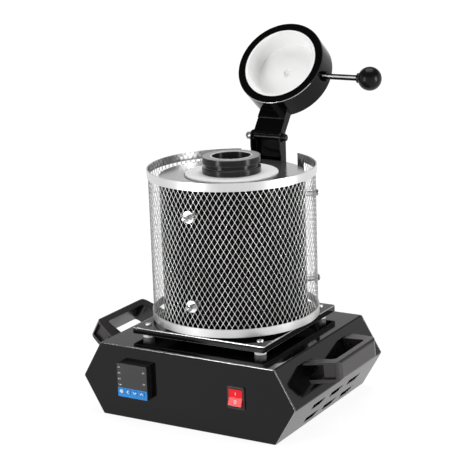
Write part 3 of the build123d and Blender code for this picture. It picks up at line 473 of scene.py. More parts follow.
# %% Plastics
moulded_black = grained_finish(
    "moulded black", ((0.010, 0.010, 0.011), (0.016, 0.016, 0.017)), (0.32, 0.42),
    scale=2600, strength=0.25, depth=0.03, edge=0.3, Specular_IOR_Level=0.4)
handle_black = grained_finish(
    "handle black", ((0.008, 0.0065, 0.0065), (0.016, 0.0115, 0.0115)), (0.24, 0.34),
    scale=1500, strength=0.2, depth=0.03, edge=0.9, Specular_IOR_Level=0.6)
knob_black = grained_finish(
    "polished phenolic", ((0.003, 0.003, 0.0033), (0.005, 0.005, 0.0055)), (0.25, 0.30),
    scale=300, strength=0.05, depth=0.03, edge=0.3, Specular_IOR_Level=0.16)
smoked_acrylic = grained_finish(
    "smoked acrylic", ((0.022, 0.022, 0.024), (0.030, 0.030, 0.032)), (0.14, 0.2),
    scale=700, strength=0.03, depth=0.02, edge=0.2, Specular_IOR_Level=0.5)
blue_film = grained_finish(
    "blue film", ((0.010, 0.20, 0.58), (0.016, 0.25, 0.66)), (0.25, 0.34),
    scale=1800, strength=0.08, depth=0.02, edge=0.3, Specular_IOR_Level=0.4)
clear_red = grained_finish(
    "clear red", ((0.80, 0.008, 0.018), (0.90, 0.02, 0.035)), (0.16, 0.24),
    scale=900, strength=0.05, depth=0.02, edge=0.4, Specular_IOR_Level=0.15,
    Subsurface_Weight=0.25, Subsurface_Scale=0.004)
printed_white = grained_finish(
    "printed white", ((0.72, 0.74, 0.76), (0.80, 0.81, 0.82)), (0.45, 0.55),
    scale=2600, strength=0.1, depth=0.01, edge=0.1, Specular_IOR_Level=0.3)
print("seven plastics and inks")

# %% [markdown]
# ** Metals.** The guard is galvanised sheet: bright, satin, brushed faintly along its length. Screws, studs and the hinge bolt are plated with zinc, bright, dull or black, with small blotches in the plating. A pale metal on chosen rounded edges is a painted highlight. A metal's colour is its reflection, so the tones are high, the roughness does the rest, and brushing takes grain's place.

# %% Metals
def metal(name, tones, gloss, stretch, scale, strength, depth, smudge=30.0):
    """A plated or rolled metal, brushed along the direction with the least stretch."""
    material, tree, shader, place, tone = finish_of(name, tones, gloss, smudge=smudge, Metallic=1.0)
    lines = add(tree, "ShaderNodeGroup", node_tree=brushing, Stretch=stretch, Scale=scale)
    edges = add(tree, "ShaderNodeGroup", node_tree=soft_edges, Radius=0.3 * mm)
    wire(tree, place, "Object", lines, "Vector")
    bumped(tree, shader, lines, "Height", strength, depth, edges)
    return material


even, round_drum, along_fins = (1, 1, 1), (1, 1, 40), (1, 40, 1)
rim_steel = metal("rolled rim steel", ((0.58, 0.58, 0.58), (0.74, 0.74, 0.74)), (0.26, 0.42),
                  stretch=round_drum, scale=60, strength=0.25, depth=0.05)
strand_steel = metal("strand steel", ((0.50, 0.50, 0.50), (0.74, 0.74, 0.74)), (0.22, 0.40),
                     stretch=even, scale=900, strength=0.2, depth=0.05, smudge=160)
zinc_plate = metal("zinc plate", ((0.62, 0.62, 0.62), (0.86, 0.86, 0.85)), (0.16, 0.38),
                   stretch=even, scale=500, strength=0.3, depth=0.08, smudge=420)
dull_zinc = metal("dull zinc", ((0.26, 0.26, 0.26), (0.55, 0.55, 0.55)), (0.18, 0.34),
                  stretch=even, scale=500, strength=0.3, depth=0.08, smudge=420)
black_zinc = metal("black zinc", ((0.012, 0.012, 0.013), (0.03, 0.03, 0.03)), (0.2, 0.34),
                   stretch=even, scale=500, strength=0.2, depth=0.05, smudge=200)
drawn_aluminium = metal("drawn aluminium", ((0.58, 0.58, 0.59), (0.70, 0.70, 0.71)), (0.3, 0.42),
                        stretch=along_fins, scale=50, strength=0.3, depth=0.04)
fired_wire = metal("fired wire", ((0.16, 0.13, 0.11), (0.34, 0.29, 0.25)), (0.45, 0.62),
                   stretch=even, scale=900, strength=0.4, depth=0.06, smudge=120)
# A pale metal for painted highlights and reflections on chosen rounded edges.
painted_gleam = metal("painted gleam", ((0.46, 0.46, 0.46), (0.60, 0.60, 0.60)), (0.18, 0.30),
                  stretch=even, scale=600, strength=0.1, depth=0.02, smudge=60)
print("eight metals")

# %% [markdown]
# ** Ceramic.** The lid's lining and the ring are vacuum-formed ceramic fibre: chalky white, with a felt of fine fibres and a few pits. One grey spot in the middle of the lid is painted shade, standing in for the shading of a small dimple there. It could be a second material, but a soft spot round a point, made ragged by the felt's own noise, has no edge to hide. The stand-offs are glazed steatite, white and glossy.

# %% Ceramic fibre
dimple_shade_centre = (0, 0.1687, 0.4283)
dimple_shade_inside, dimple_shade_outside, dimple_shade_ragged = 0.0055, 0.0085, 0.006
ceramic_fibre, tree, shader, place, tone = finish_of(
    "ceramic fibre", ((0.88, 0.88, 0.875), (0.93, 0.93, 0.925)), (0.75, 0.92), drift=60.0,
    Specular_IOR_Level=0.2)
felt = add(tree, "ShaderNodeTexNoise", Scale=900.0, Detail=6.0, Roughness=0.75, Distortion=1.4)
pits = add(tree, "ShaderNodeTexVoronoi", Scale=170.0)
shallow = add(tree, "ShaderNodeMapRange", From_Min=0.0, From_Max=0.22, To_Min=-1.2, To_Max=0.0)
relief = add(tree, "ShaderNodeMath", operation="ADD")
wire(tree, place, "Object", felt, "Vector")
wire(tree, place, "Object", pits, "Vector")
wire(tree, pits, "Distance", shallow, "Value")
wire(tree, felt, "Fac", relief, 0)
wire(tree, shallow, "Result", relief, 1)
bumped(tree, shader, relief, "Value", strength=0.35, depth=0.12)
# A grey spot of painted shade for the dimple in the lid's lining.
spot = add(tree, "ShaderNodeVectorMath", operation="DISTANCE")
spot.inputs[1].default_value = dimple_shade_centre
ragged = add(tree, "ShaderNodeMath", operation="MULTIPLY_ADD")
ragged.inputs[1].default_value = dimple_shade_ragged
dimple_shade = add(tree, "ShaderNodeMapRange", From_Min=dimple_shade_inside, From_Max=dimple_shade_outside, To_Min=0.32,
           To_Max=0.0)
dimple_shaded = add(tree, "ShaderNodeMix", data_type="RGBA")
dimple_shaded.inputs["B"].default_value = (0.30, 0.29, 0.28, 1)
wire(tree, place, "Object", spot, 0)
wire(tree, felt, "Fac", ragged, 0)
wire(tree, spot, "Value", ragged, 2)
wire(tree, ragged, 0, dimple_shade, "Value")
wire(tree, dimple_shade, "Result", dimple_shaded, "Factor")
wire(tree, tone, "Color", dimple_shaded, "A")
wire(tree, dimple_shaded, "Result", shader, "Base Color")

steatite = grained_finish(
    "glazed steatite", ((0.90, 0.895, 0.88), (0.95, 0.945, 0.93)), (0.18, 0.28),
    scale=260, strength=0.08, depth=0.05, edge=0.4, Specular_IOR_Level=0.5)
print("ceramic fibre and steatite")

# %% [markdown]
# **Graphite.** The crucible is turned graphite: the lathe leaves close rings round its axis. They could
# be cut into the mesh, but a wave of distance from that axis and height draws them on any shape.
# Turning also makes the gloss anisotropic: along the rings it stays narrow and across them it spreads, so a
# softbox becomes an upright band. The top gets a paler graphite as a painted reflection, and its mouth a pale
# ring as a painted highlight.

# %% Turned graphite
drum_axis_y = 9.0
ring_pitch = 0.7
turned_graphite, tree, shader, place, tone = finish_of(
    "turned graphite", ((0.006, 0.006, 0.007), (0.011, 0.011, 0.012)), (0.30, 0.34), smudge=45.0,
    Specular_IOR_Level=0.45, Anisotropic=0.9, Anisotropic_Rotation=0.25)
wire(tree, add(tree, "ShaderNodeTangent", direction_type="RADIAL", axis="Z"), "Tangent", shader, "Tangent")
centre = add(tree, "ShaderNodeMapping", vector_type="POINT")
centre.inputs["Location"].default_value = (0, -drum_axis_y * mm, 0)
parts = add(tree, "ShaderNodeSeparateXYZ")
level_part = add(tree, "ShaderNodeVectorMath", operation="MULTIPLY")
level_part.inputs[1].default_value = (1, 1, 0)
reach = add(tree, "ShaderNodeVectorMath", operation="LENGTH")
rings = add(tree, "ShaderNodeMath", operation="ADD")
groove = add(tree, "ShaderNodeMath", operation="MULTIPLY")
groove.inputs[1].default_value = 2 * pi / (ring_pitch * mm)
wave = add(tree, "ShaderNodeMath", operation="SINE")
wire(tree, place, "Object", centre, "Vector")
wire(tree, centre, "Vector", level_part, 0)
wire(tree, level_part, "Vector", reach, 0)
wire(tree, centre, "Vector", parts, "Vector")
wire(tree, reach, "Value", rings, 0)
wire(tree, parts, "Z", rings, 1)
wire(tree, rings, "Value", groove, 0)
wire(tree, groove, "Value", wave, 0)
edges = add(tree, "ShaderNodeGroup", node_tree=soft_edges, Radius=1.0 * mm)
bumped(tree, shader, wave, "Value", strength=0.12, depth=0.008, edges=edges)
# The crucible's edges get a paler painted highlight too.
paint_edge_highlight(tree, shader, tone, edges, wear=0.5)

# A paler graphite for the crucible's top: a painted reflection.
top_reflection_graphite = grained_finish(
    "graphite top reflection", ((0.27, 0.27, 0.27), (0.35, 0.35, 0.35)), (0.30, 0.42),
    scale=900, strength=0.15, depth=0.03, edge=0.5, smudge=60.0, Specular_IOR_Level=0.5)
# A pale ring on the crucible's mouth: a painted highlight.
lip_highlight = grained_finish(
    "painted lip highlight", ((0.78, 0.78, 0.78), (0.88, 0.88, 0.88)), (0.22, 0.32),
    scale=900, strength=0.1, depth=0.02, edge=0.3, Specular_IOR_Level=0.8)
print("graphite, turned every", ring_pitch, "mm and faced")

# %% [markdown]
# ## Dress the pieces that keep their shape
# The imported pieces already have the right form, so most of them only change their material. It could
# be done piece by piece in the outliner; a table names every one of them once, and the cell stops if a
# piece is left over, which is the easiest way to be sure that nothing stays plain.

# %% Finishes by piece
wears = (
    (black_enamel, "base_shell front_panel rear_panel furnace_plate"),
    (lid_enamel, "hinge_post lid_arm lid_shell lid_rim"),
    (polished_rod, "lid_rod"),
    (drum_enamel, "furnace_shell"),
    (cover_enamel_reflection, "top_cover"),
    (moulded_black, "controller_case switch_housing power_inlet relay terminal_block"),
    (handle_black, "handle_right handle_left"),
    (knob_black, "lid_knob"),
    (smoked_acrylic, "controller_window"),
    (blue_film, "key_strip key_1 key_2 key_3 key_4"),
    (clear_red, "switch_rocker"),
    (rim_steel, "guard_rim_bottom guard_rim_top guard_end_strips"),
    (strand_steel, "guard_mesh"),
    (zinc_plate, "guard_studs guard_spacers guard_washers guard_nuts hinge_nut plate_screws post_screws "
                 "inlet_pins thermocouple lead_rods"),
    (black_zinc, "cover_screws hinge_bolt handle_lug_right_front handle_lug_right_rear "
                 "handle_lug_left_front handle_lug_left_rear"),
    (ceramic_fibre, "ceramic_ring heating_chamber insulation_sleeve insulation_base lid_insulation "
                    "lid_lining"),
    (steatite, "insulator_1 insulator_2 insulator_3 insulator_4 lead_bushes"),
    (turned_graphite, "crucible"),
    (fired_wire, "heating_coil"),
    (drawn_aluminium, "heat_sink"),
)
dressed = set()
for finish, listed in wears:
    for piece in listed.split():
        nodes[piece].data.materials.clear()
        nodes[piece].data.materials.append(finish)
        dressed.add(piece)
left_over = set(nodes) - dressed
if left_over:
    raise ValueError(f"pieces with no finish: {sorted(left_over)}")
print("dressed", len(dressed), "pieces in", len(wears), "finishes")

# %% [markdown]
# The front panel and the plate have rounded edges, and a pale metal on them is a painted highlight. A mask
# could find them, but a second material on chosen faces stays crisp at any distance. Those faces lean away
# from the flat of their sheet, so their own direction picks them out. The lid's rim gets the same pale metal
# along its lower side only, as a painted reflection of the white floor. The crucible's top face is chosen by
# its height, for a paler graphite that is a painted reflection.

# %% Painted edge highlights and reflections
whole_round, narrow_round = (0.12, 0.985), (0.45, 0.85)
lid_tilt = radians(38.2)
lid_facing = Vector((0, -cos(lid_tilt), sin(lid_tilt)))
lid_upward = Vector((0, sin(lid_tilt), cos(lid_tilt)))
lid_centre = sum(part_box("lid_rim"), Vector()) / 2
crucible_face_height = 342.9


def front_gleam_faces(face):
    """Choose the panel's rounded edge for the painted highlight: all of it along the top, and a narrow strip
    elsewhere.
    """
    on_top = face.normal.z > 0.3 and abs(face.normal.x) < 0.1
    least, most = whole_round if on_top else narrow_round
    return least < -face.normal.y < most


def plate_gleam_faces(face):
    """Choose the rounded edge of the furnace plate for the painted highlight."""
    return whole_round[0] < face.normal.z < whole_round[1]


def rim_reflection_faces(face):
    """Choose the outer edge of the lid's rim, on its lower side only, for the painted reflection."""
    out = (face.center - lid_centre).normalized()
    leans = abs(face.normal.dot(lid_facing)) < 0.97 and face.normal.dot(out) > 0.2
    return leans and out.dot(lid_upward) < -0.45


def crucible_top(face):
    """Choose the crucible's flat top, for its painted reflection."""
    return face.center.z > crucible_face_height * mm


for piece, chosen, finish in (("front_panel", front_gleam_faces, painted_gleam), ("furnace_plate", plate_gleam_faces, painted_gleam),
                              ("lid_rim", rim_reflection_faces, painted_gleam), ("crucible", crucible_top, top_reflection_graphite)):
    mesh = nodes[piece].data
    mesh.materials.append(finish)
    faces = [face for face in mesh.polygons if chosen(face)]
    for face in faces:
        face.material_index = len(mesh.materials) - 1
    print(f"{piece}: {len(faces)} faces of {finish.name}")

# %% [markdown]
# ## The guard's expanded metal
# Expanded metal is one sheet, slit and stretched into staggered diamonds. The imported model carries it
# at a coarse pitch, and here it gets its real one. A picture of a mesh with holes would do from afar,
# but up close it has no thickness, so the net is real sheet: one small tile repeated, a diamond with a
# diamond hole in it. First comes the tile. Its corners lie on the drum's circle, so neighbours meet
# exactly, and each strand is a little proud along its middle, as a pulled strand is.

# %% One diamond of the net
net_radius = 112.9
net_sheet = 0.5
diamond_width, diamond_height = 7.8, 12.9
strand_width, strand_ridge = 0.5, 0.14
tip_cut, side_cut = 0.86, 0.92


def mesh_of(shape, name):
    """Turn a finished bmesh into a mesh, free it and return the mesh."""
    mesh = bpy.data.meshes.new(name)
    shape.to_mesh(mesh)
    shape.free()
    return mesh


def net_tile():
    """Return a mesh of one diamond with its hole, bent to the guard's radius at angle 0."""
    half_w, half_h = diamond_width / 2, diamond_height / 2
    slope = ((1 / half_w) ** 2 + (1 / half_h) ** 2) ** 0.5
    inset = 1 - strand_width / 2 * slope
    hole_w, hole_h = inset * half_w, inset * half_h
    top, side = tip_cut * hole_h, side_cut * hole_w
    top_half, side_half = hole_w * (1 - tip_cut), hole_h * (1 - side_cut)
    outer = [(0, half_h), (half_w, 0), (0, -half_h), (-half_w, 0)]
    hole = [(top_half, top), (side, side_half), (side, -side_half), (top_half, -top),
            (-top_half, -top), (-side, -side_half), (-side, side_half), (-top_half, top)]
    tile = bmesh.new()

    def ring(points, radius):
        made = []
        for along, height in points:
            angle = along / net_radius
            made.append(tile.verts.new((radius * cos(angle) * mm, radius * sin(angle) * mm, height * mm)))
        return made

    front_outer, front_hole = ring(outer, net_radius), ring(hole, net_radius - strand_ridge)
    back_outer = ring(outer, net_radius - net_sheet)
    back_hole = ring(hole, net_radius - net_sheet + strand_ridge)
    for corner in range(4):
        after, left, right_of = (corner + 1) % 4, 2 * corner, 2 * corner + 1
        for rim, opening, flip in ((front_outer, front_hole, True), (back_outer, back_hole, False)):
            edge = [rim[corner], rim[after], opening[right_of], opening[left]]
            tip = [rim[corner], opening[left], opening[(left - 1) % 8]]
            tile.faces.new(reversed(edge) if flip else edge)
            tile.faces.new(reversed(tip) if flip else tip)
        for start in (left, right_of):
            end = (start + 1) % 8
            tile.faces.new((front_hole[start], front_hole[end], back_hole[end], back_hole[start]))
    return mesh_of(tile, "net tile")


tile_mesh = net_tile()
print("a tile has", len(tile_mesh.polygons), "faces")

# %% [markdown]
# Geometry Nodes is the natural tool for what repeats, and the result must still be a plain mesh. So a helper
# runs a tree on a start mesh and keeps what comes out. A modifier's inputs are set by the socket's identifier,
# which it looks up by name before the object is first evaluated. The last helper lets a finished piece ride on
# the body it belongs to, and hides the imported piece it stands for.

# %% Helpers that grow a mesh from a tree
def new_tree(name, sockets):
    """Make a Geometry Nodes tree with named inputs, and return it with its two ends."""
    tree = bpy.data.node_groups.new(name, "GeometryNodeTree")
    tree.interface.new_socket("Geometry", in_out="INPUT", socket_type="NodeSocketGeometry")
    for label, kind in sockets:
        tree.interface.new_socket(label, in_out="INPUT", socket_type="NodeSocket" + kind)
    tree.interface.new_socket("Geometry", in_out="OUTPUT", socket_type="NodeSocketGeometry")
    return tree, tree.nodes.new("NodeGroupInput"), tree.nodes.new("NodeGroupOutput")


def grow(name, start, tree, values):
    """Run a tree on a mesh, keep its result as a plain mesh, and return the new object."""
    piece = set_out(name, start)
    modifier = piece.modifiers.new("grow", "NODES")
    modifier.node_group = tree
    for item in tree.interface.items_tree:
        if item.item_type == "SOCKET" and item.in_out == "INPUT" and item.name in values:
            modifier[item.identifier] = values[item.name]
    bpy.context.view_layer.update()
    evaluated = piece.evaluated_get(bpy.context.evaluated_depsgraph_get())
    plain = bpy.data.meshes.new_from_object(evaluated)
    piece.modifiers.clear()
    piece.data = plain
    plain.name = name
    return piece


def settle(piece, body, stands_for=()):
    """Let a finished piece ride on its body, and hide what it stands for."""
    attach(piece, body)
    if stands_for:
        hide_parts(*stands_for)
    tris = sum(len(p.vertices) - 2 for p in piece.data.polygons)
    print(f"{piece.name}: {tris} triangles, on {body}")


print("growing helpers ready")

# %% [markdown]
# The net's tree asks for what a sheet-metal maker would: where the net starts, how many columns and
# rows, and their steps. Each point's number gives its row and column, and odd rows move half a step,
# staggered like bricks. A tile is set on every point and turned to face outwards, and the edges that
# tiles share are merged, which leaves one sheet.

# %% The net's tree
net_tree, ends_in, ends_out = new_tree(
    "expanded metal", [("Columns", "Int"), ("Rows", "Int"), ("First Angle", "Float"),
                       ("Angle Step", "Float"), ("Bottom", "Float"), ("Row Step", "Float"),
                       ("Material", "Material")])


def sums(tree, operation, first, second):
    """Add a maths node whose two inputs are sockets or plain numbers, and return its output."""
    item = add(tree, "ShaderNodeMath", operation=operation)
    for number, value in enumerate((first, second)):
        if isinstance(value, (int, float)):
            item.inputs[number].default_value = value
        else:
            tree.links.new(value, item.inputs[number])
    return item.outputs[0]


index = add(net_tree, "GeometryNodeInputIndex").outputs[0]
columns, rows = ends_in.outputs["Columns"], ends_in.outputs["Rows"]
spots = add(net_tree, "GeometryNodePoints")
net_tree.links.new(sums(net_tree, "MULTIPLY", columns, rows), spots.inputs["Count"])
row = sums(net_tree, "FLOOR", sums(net_tree, "DIVIDE", index, columns), 0)
column = sums(net_tree, "MODULO", index, columns)
half = sums(net_tree, "MULTIPLY", sums(net_tree, "MODULO", row, 2), 0.5)
steps = sums(net_tree, "MULTIPLY", sums(net_tree, "ADD", column, half), ends_in.outputs["Angle Step"])
angle = sums(net_tree, "ADD", steps, ends_in.outputs["First Angle"])
height = sums(net_tree, "ADD", sums(net_tree, "MULTIPLY", row, ends_in.outputs["Row Step"]),
              ends_in.outputs["Bottom"])
place_at = add(net_tree, "ShaderNodeCombineXYZ")
turn_by = add(net_tree, "ShaderNodeCombineXYZ")
net_tree.links.new(height, place_at.inputs["Z"])
net_tree.links.new(angle, turn_by.inputs["Z"])
tiles = add(net_tree, "GeometryNodeInstanceOnPoints")
real = add(net_tree, "GeometryNodeRealizeInstances")
weld = add(net_tree, "GeometryNodeMergeByDistance", Distance=0.01 * mm)
coat = add(net_tree, "GeometryNodeSetMaterial")
wire(net_tree, place_at, 0, spots, "Position")
wire(net_tree, spots, 0, tiles, "Points")
wire(net_tree, ends_in, "Geometry", tiles, "Instance")
wire(net_tree, turn_by, 0, tiles, "Rotation")
wire(net_tree, tiles, "Instances", real, "Geometry")
wire(net_tree, real, "Geometry", weld, "Geometry")
wire(net_tree, weld, "Geometry", coat, "Geometry")
wire(net_tree, ends_in, "Material", coat, "Material")
wire(net_tree, coat, "Geometry", ends_out, "Geometry")
print("net tree:", len(net_tree.nodes), "nodes")

# %% [markdown]
# The net's first and last columns end under the two plain strips at the rear, and its first and last
# rows under the rims. The number of columns follows from the diamond's width, so that the net closes
# that span with whole diamonds.

# %% Grow the guard's net
net_first, net_last = 115.6, 424.4
net_bottom, net_top = 129.2, 322.5
net_columns = round(radians(net_last - net_first) * net_radius / diamond_width)
net_rows = round((net_top - net_bottom) / (diamond_height / 2)) + 1
round_the_drum = Matrix.Translation((0, drum_axis_y * mm, 0))
guard_net = grow("guard_net", tile_mesh, net_tree, {
    "Columns": net_columns, "Rows": net_rows, "First Angle": radians(net_first),
    "Angle Step": diamond_width / net_radius, "Bottom": net_bottom * mm,
    "Row Step": diamond_height / 2 * mm, "Material": strand_steel})
guard_net.data.transform(round_the_drum)
settle(guard_net, "body", ["guard_mesh"])
print(net_columns, "columns and", net_rows, "rows of diamonds")

# %% [markdown]
# ## Screws, studs and nuts
# Fasteners are turned on a lathe or cut from hexagonal bar. A cylinder with a bevel looks like a toy,
# so each is a short profile spun round an axis. A nut is spun too: its outline follows the hexagon,
# and the turned chamfer drops the corners more than the flats, which gives the curved edges that a
# real nut has. Pieces are spun round Z at the origin and turned to their places later.

# %% A helper that spins a profile
crease_angle = radians(32)


def spun(name, profile, steps=24, closed=False):
    """Spin (radius, height) points round Z; either may be a function of the turn, in mm."""
    shape = bmesh.new()
    rings = []
    for radius, height in profile:
        ring = []
        for step in range(1 if radius == 0 else steps):
            turn = 2 * pi * step / steps
            out = radius(turn) if callable(radius) else radius
            level = height(turn) if callable(height) else height
            ring.append(shape.verts.new((out * cos(turn) * mm, out * sin(turn) * mm, level * mm)))
        rings.append(ring)
    for low, high in zip(rings, rings[1:] + rings[:1] if closed else rings[1:]):
        for step in range(steps):
            after = (step + 1) % steps
            corners = [low[0]] if len(low) == 1 else [low[step], low[after]]
            corners += [high[0]] if len(high) == 1 else [high[after], high[step]]
            shape.faces.new(corners)
    bmesh.ops.recalc_face_normals(shape, faces=shape.faces)
    mesh = mesh_of(shape, name)
    mesh.polygons.foreach_set("use_smooth", [True] * len(mesh.polygons))
    mesh.set_sharp_from_angle(angle=crease_angle)
    return mesh


print("spinning helper ready")

# %% [markdown]
# A nut and a thread are two profiles for that helper. The thread's teeth are rings and not a helix: at
# this size no eye can tell them apart, and rings close without a seam.

# %% Nuts and threads
chamfer_starts, lead_in = 0.97, 0.5


def nut_mesh(flats, bore, thick, bottom):
    """Return a chamfered hexagonal nut with its bore, standing on a height."""
    inscribed = flats / 2

    def hexagon(turn):
        return inscribed / cos((turn + pi / 6) % (pi / 3) - pi / 6)

    def drop(turn):
        return (hexagon(turn) - chamfer_starts * inscribed) * tan(radians(30))

    top = bottom + thick
    return spun("nut", [
        (bore, bottom), (chamfer_starts * inscribed, bottom), (hexagon, lambda turn: bottom + drop(turn)),
        (hexagon, lambda turn: top - drop(turn)), (chamfer_starts * inscribed, top),
        (bore + lead_in, top), (bore, top - lead_in)], steps=48, closed=True)


def thread(radius, start, end, pitch=0.8, depth=0.35):
    """Return the saw-tooth profile of a thread between two heights."""
    teeth = []
    for number in range(int((end - start) / pitch)):
        low = start + number * pitch
        teeth += [(radius - depth, low), (radius, low + pitch / 2)]
    return teeth


def piece_of(name, mesh, finish, placing, body, stands_for=()):
    """Put a mesh in its place, give it its finish and settle it as a piece."""
    mesh.transform(placing)
    mesh.materials.append(finish)
    settle(set_out(name, mesh), body, stands_for)


print("turning helpers ready")

# %% [markdown]
# The guard stands off the drum on six studs, in pairs one above the other. Each stud has a threaded
# end with a chamfered tip, and a nut; the front pair is longer and has a collar. They could be placed
# one by one, but the net's tree already sets tiles round the drum: the tile is now a stud, laid along
# the radius, and one call makes the pair at one angle.

# %% Studs and nuts of the guard
stud_heights = (162.4, 282.8)
drum_face, guard_face = 97.6, 112.38
stud_radius, collar_radius, washer_thickness = 2.5, 3.6, 1.5
nut_flats, nut_height = 8.4, 4.5
thread_starts, tip_length, tip_drop = 0.2, 0.6, 0.45
collar_start = guard_face + washer_thickness
stud_meshes, nut_meshes = bmesh.new(), bmesh.new()
for stud_angle, collar, proud in ((-90, 4.0, 4.5), (42, 0.1, 1.5), (138, 0.1, 1.5)):
    nut_start = collar_start + collar
    stud_end = nut_start + nut_height + proud
    stud = spun("stud", [
        (0, drum_face), (stud_radius, drum_face), (stud_radius, collar_start), (collar_radius, collar_start),
        (collar_radius, nut_start), *thread(stud_radius, nut_start + thread_starts, stud_end - tip_length),
        (stud_radius - tip_drop, stud_end), (0, stud_end)])
    nut = nut_mesh(nut_flats, stud_radius, nut_height, nut_start)
    for tile, whole in ((stud, stud_meshes), (nut, nut_meshes)):
        tile.transform(Matrix.Rotation(pi / 2, 4, "Y"))
        pair = grow("pair", tile, net_tree, {
            "Columns": 1, "Rows": 2, "First Angle": radians(stud_angle), "Angle Step": 0.0,
            "Bottom": stud_heights[0] * mm, "Row Step": (stud_heights[1] - stud_heights[0]) * mm,
            "Material": dull_zinc})
        whole.from_mesh(pair.data)
        bpy.data.objects.remove(pair)
for whole, name, stands_for in ((stud_meshes, "guard_stud_set", "guard_studs"),
                                (nut_meshes, "guard_nut_set", "guard_nuts")):
    piece_of(name, mesh_of(whole, name), dull_zinc, round_the_drum, "body", [stands_for])

# %% [markdown]
# Two fine lines run round the drum's axis: a black ring laid on the cover round the ceramic ring is painted
# shade for the gap there, and a pale ring on the crucible's mouth is a painted highlight. A colour by distance
# from the axis could paint them, but both are spun as thin rings, which keeps their edges sharp.

# %% Painted shade round the ceramic ring and painted highlight on the crucible's lip
cover_top = 1000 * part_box("top_cover")[1].z
# The black ring is painted shade for the gap round the ceramic ring.
gap_inside, gap_outside, gap_height = 63.0, 64.6, 0.08
gap_shade_profile = [(gap_inside, cover_top), (gap_outside, cover_top),
               (gap_outside, cover_top + gap_height), (gap_inside, cover_top + gap_height)]
# The lip ring is a painted highlight on the crucible's mouth.
mouth_radius, mouth_top = 26.8, 1000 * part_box("crucible")[1].z
lip_inside, lip_outside = mouth_radius - 0.08, mouth_radius + 1.4
lip_foot, lip_top, lip_bevel = mouth_top - 0.8, mouth_top + 0.05, 0.1
lip_profile = [(lip_inside, lip_foot), (mouth_radius + lip_bevel, lip_foot),
               (lip_outside, mouth_top - lip_bevel), (lip_outside, lip_top), (lip_inside, lip_top)]
for name, profile, finish, slot in (("ring_gap_shade", gap_shade_profile, lid_enamel, "black_paint"),
                                    ("crucible_lip_highlight", lip_profile, lip_highlight, "graphite")):
    piece_of(name, spun(name, profile, 72, True), finish, round_the_drum, "body")

# %% [markdown]
# The lid turns on a bolt through the post, held by a hexagonal nut on a thick washer. Both are spun
# with the same helpers and laid along the bolt.

# %% The hinge's nut and washer
bolt_y, bolt_z, post_half = 110.5, 350.0, 23.75
bolt_radius, washer_radius, washer_height, washer_bevel = 3.0, 6.5, 3.5, 0.2
washer = spun("washer", [
    (bolt_radius, 0), (washer_radius - washer_bevel, 0), (washer_radius, washer_bevel),
    (washer_radius, washer_height - washer_bevel), (washer_radius - washer_bevel, washer_height),
    (bolt_radius, washer_height)], 36, True)
shapes = bmesh.new()
shapes.from_mesh(washer)
shapes.from_mesh(nut_mesh(flats=9.7, bore=bolt_radius, thick=5.0, bottom=washer_height))
along_bolt = Matrix.Translation((-post_half * mm, bolt_y * mm, bolt_z * mm)) @ Matrix.Rotation(-pi / 2, 4, "Y")
piece_of("hinge_nut_set", mesh_of(shapes, "hinge_nut_set"), zinc_plate, along_bolt, "body",
         ["hinge_nut"])

# %% [markdown]
# The plate and the inlet are held by pan-head screws with a cross recess. A dark cross painted on a
# head would look flat, so the tree cuts it with two boxes. It then sets a head on every corner of a
# grid and turns each by a random part of a quarter, because nobody lines screws up. The seed is an
# input, so the turns stay the same.

# %% The screws' tree
screw_tree, ends_in, ends_out = new_tree(
    "cross-head screws", [("Slot Length", "Float"), ("Slot Width", "Float"), ("Slot Depth", "Float"),
                          ("Head Height", "Float"), ("Width", "Float"), ("Depth", "Float"),
                          ("Columns", "Int"), ("Rows", "Int"), ("Seed", "Int"), ("Material", "Material")])
cut = add(screw_tree, "GeometryNodeMeshBoolean", operation="DIFFERENCE")
deep = sums(screw_tree, "MULTIPLY", ends_in.outputs["Slot Depth"], 2)
lift = add(screw_tree, "ShaderNodeCombineXYZ")
wire(screw_tree, ends_in, "Head Height", lift, "Z")
wire(screw_tree, ends_in, "Geometry", cut, "Mesh 1")
for long_way, short_way in (("X", "Y"), ("Y", "X")):
    size = add(screw_tree, "ShaderNodeCombineXYZ")
    wire(screw_tree, ends_in, "Slot Length", size, long_way)
    wire(screw_tree, ends_in, "Slot Width", size, short_way)
    screw_tree.links.new(deep, size.inputs["Z"])
    bar = add(screw_tree, "GeometryNodeMeshCube")
    raised = add(screw_tree, "GeometryNodeTransform")
    wire(screw_tree, size, "Vector", bar, "Size")
    wire(screw_tree, bar, "Mesh", raised, "Geometry")
    wire(screw_tree, lift, "Vector", raised, "Translation")
    wire(screw_tree, raised, "Geometry", cut, "Mesh 2")
corners = add(screw_tree, "GeometryNodeMeshGrid")
for name, socket in (("Width", "Size X"), ("Depth", "Size Y"),
                     ("Columns", "Vertices X"), ("Rows", "Vertices Y")):
    wire(screw_tree, ends_in, name, corners, socket)
chance = add(screw_tree, "FunctionNodeRandomValue", data_type="FLOAT")
chance.inputs[3].default_value = pi / 2
wire(screw_tree, ends_in, "Seed", chance, "Seed")
turned_by = add(screw_tree, "ShaderNodeCombineXYZ")
screw_tree.links.new(chance.outputs[1], turned_by.inputs["Z"])
heads = add(screw_tree, "GeometryNodeInstanceOnPoints")
real = add(screw_tree, "GeometryNodeRealizeInstances")
coat = add(screw_tree, "GeometryNodeSetMaterial")
wire(screw_tree, corners, "Mesh", heads, "Points")
wire(screw_tree, cut, "Mesh", heads, "Instance")
wire(screw_tree, turned_by, "Vector", heads, "Rotation")
wire(screw_tree, heads, "Instances", real, "Geometry")
wire(screw_tree, real, "Geometry", coat, "Geometry")
wire(screw_tree, ends_in, "Material", coat, "Material")
wire(screw_tree, coat, "Geometry", ends_out, "Geometry")
print("screw tree:", len(screw_tree.nodes), "nodes")

# %% [markdown]
# Four screws stand on the plate's corners and two beside the inlet, where a rotation makes their grid
# face the rear. Each set stands on the face that carries it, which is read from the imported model.

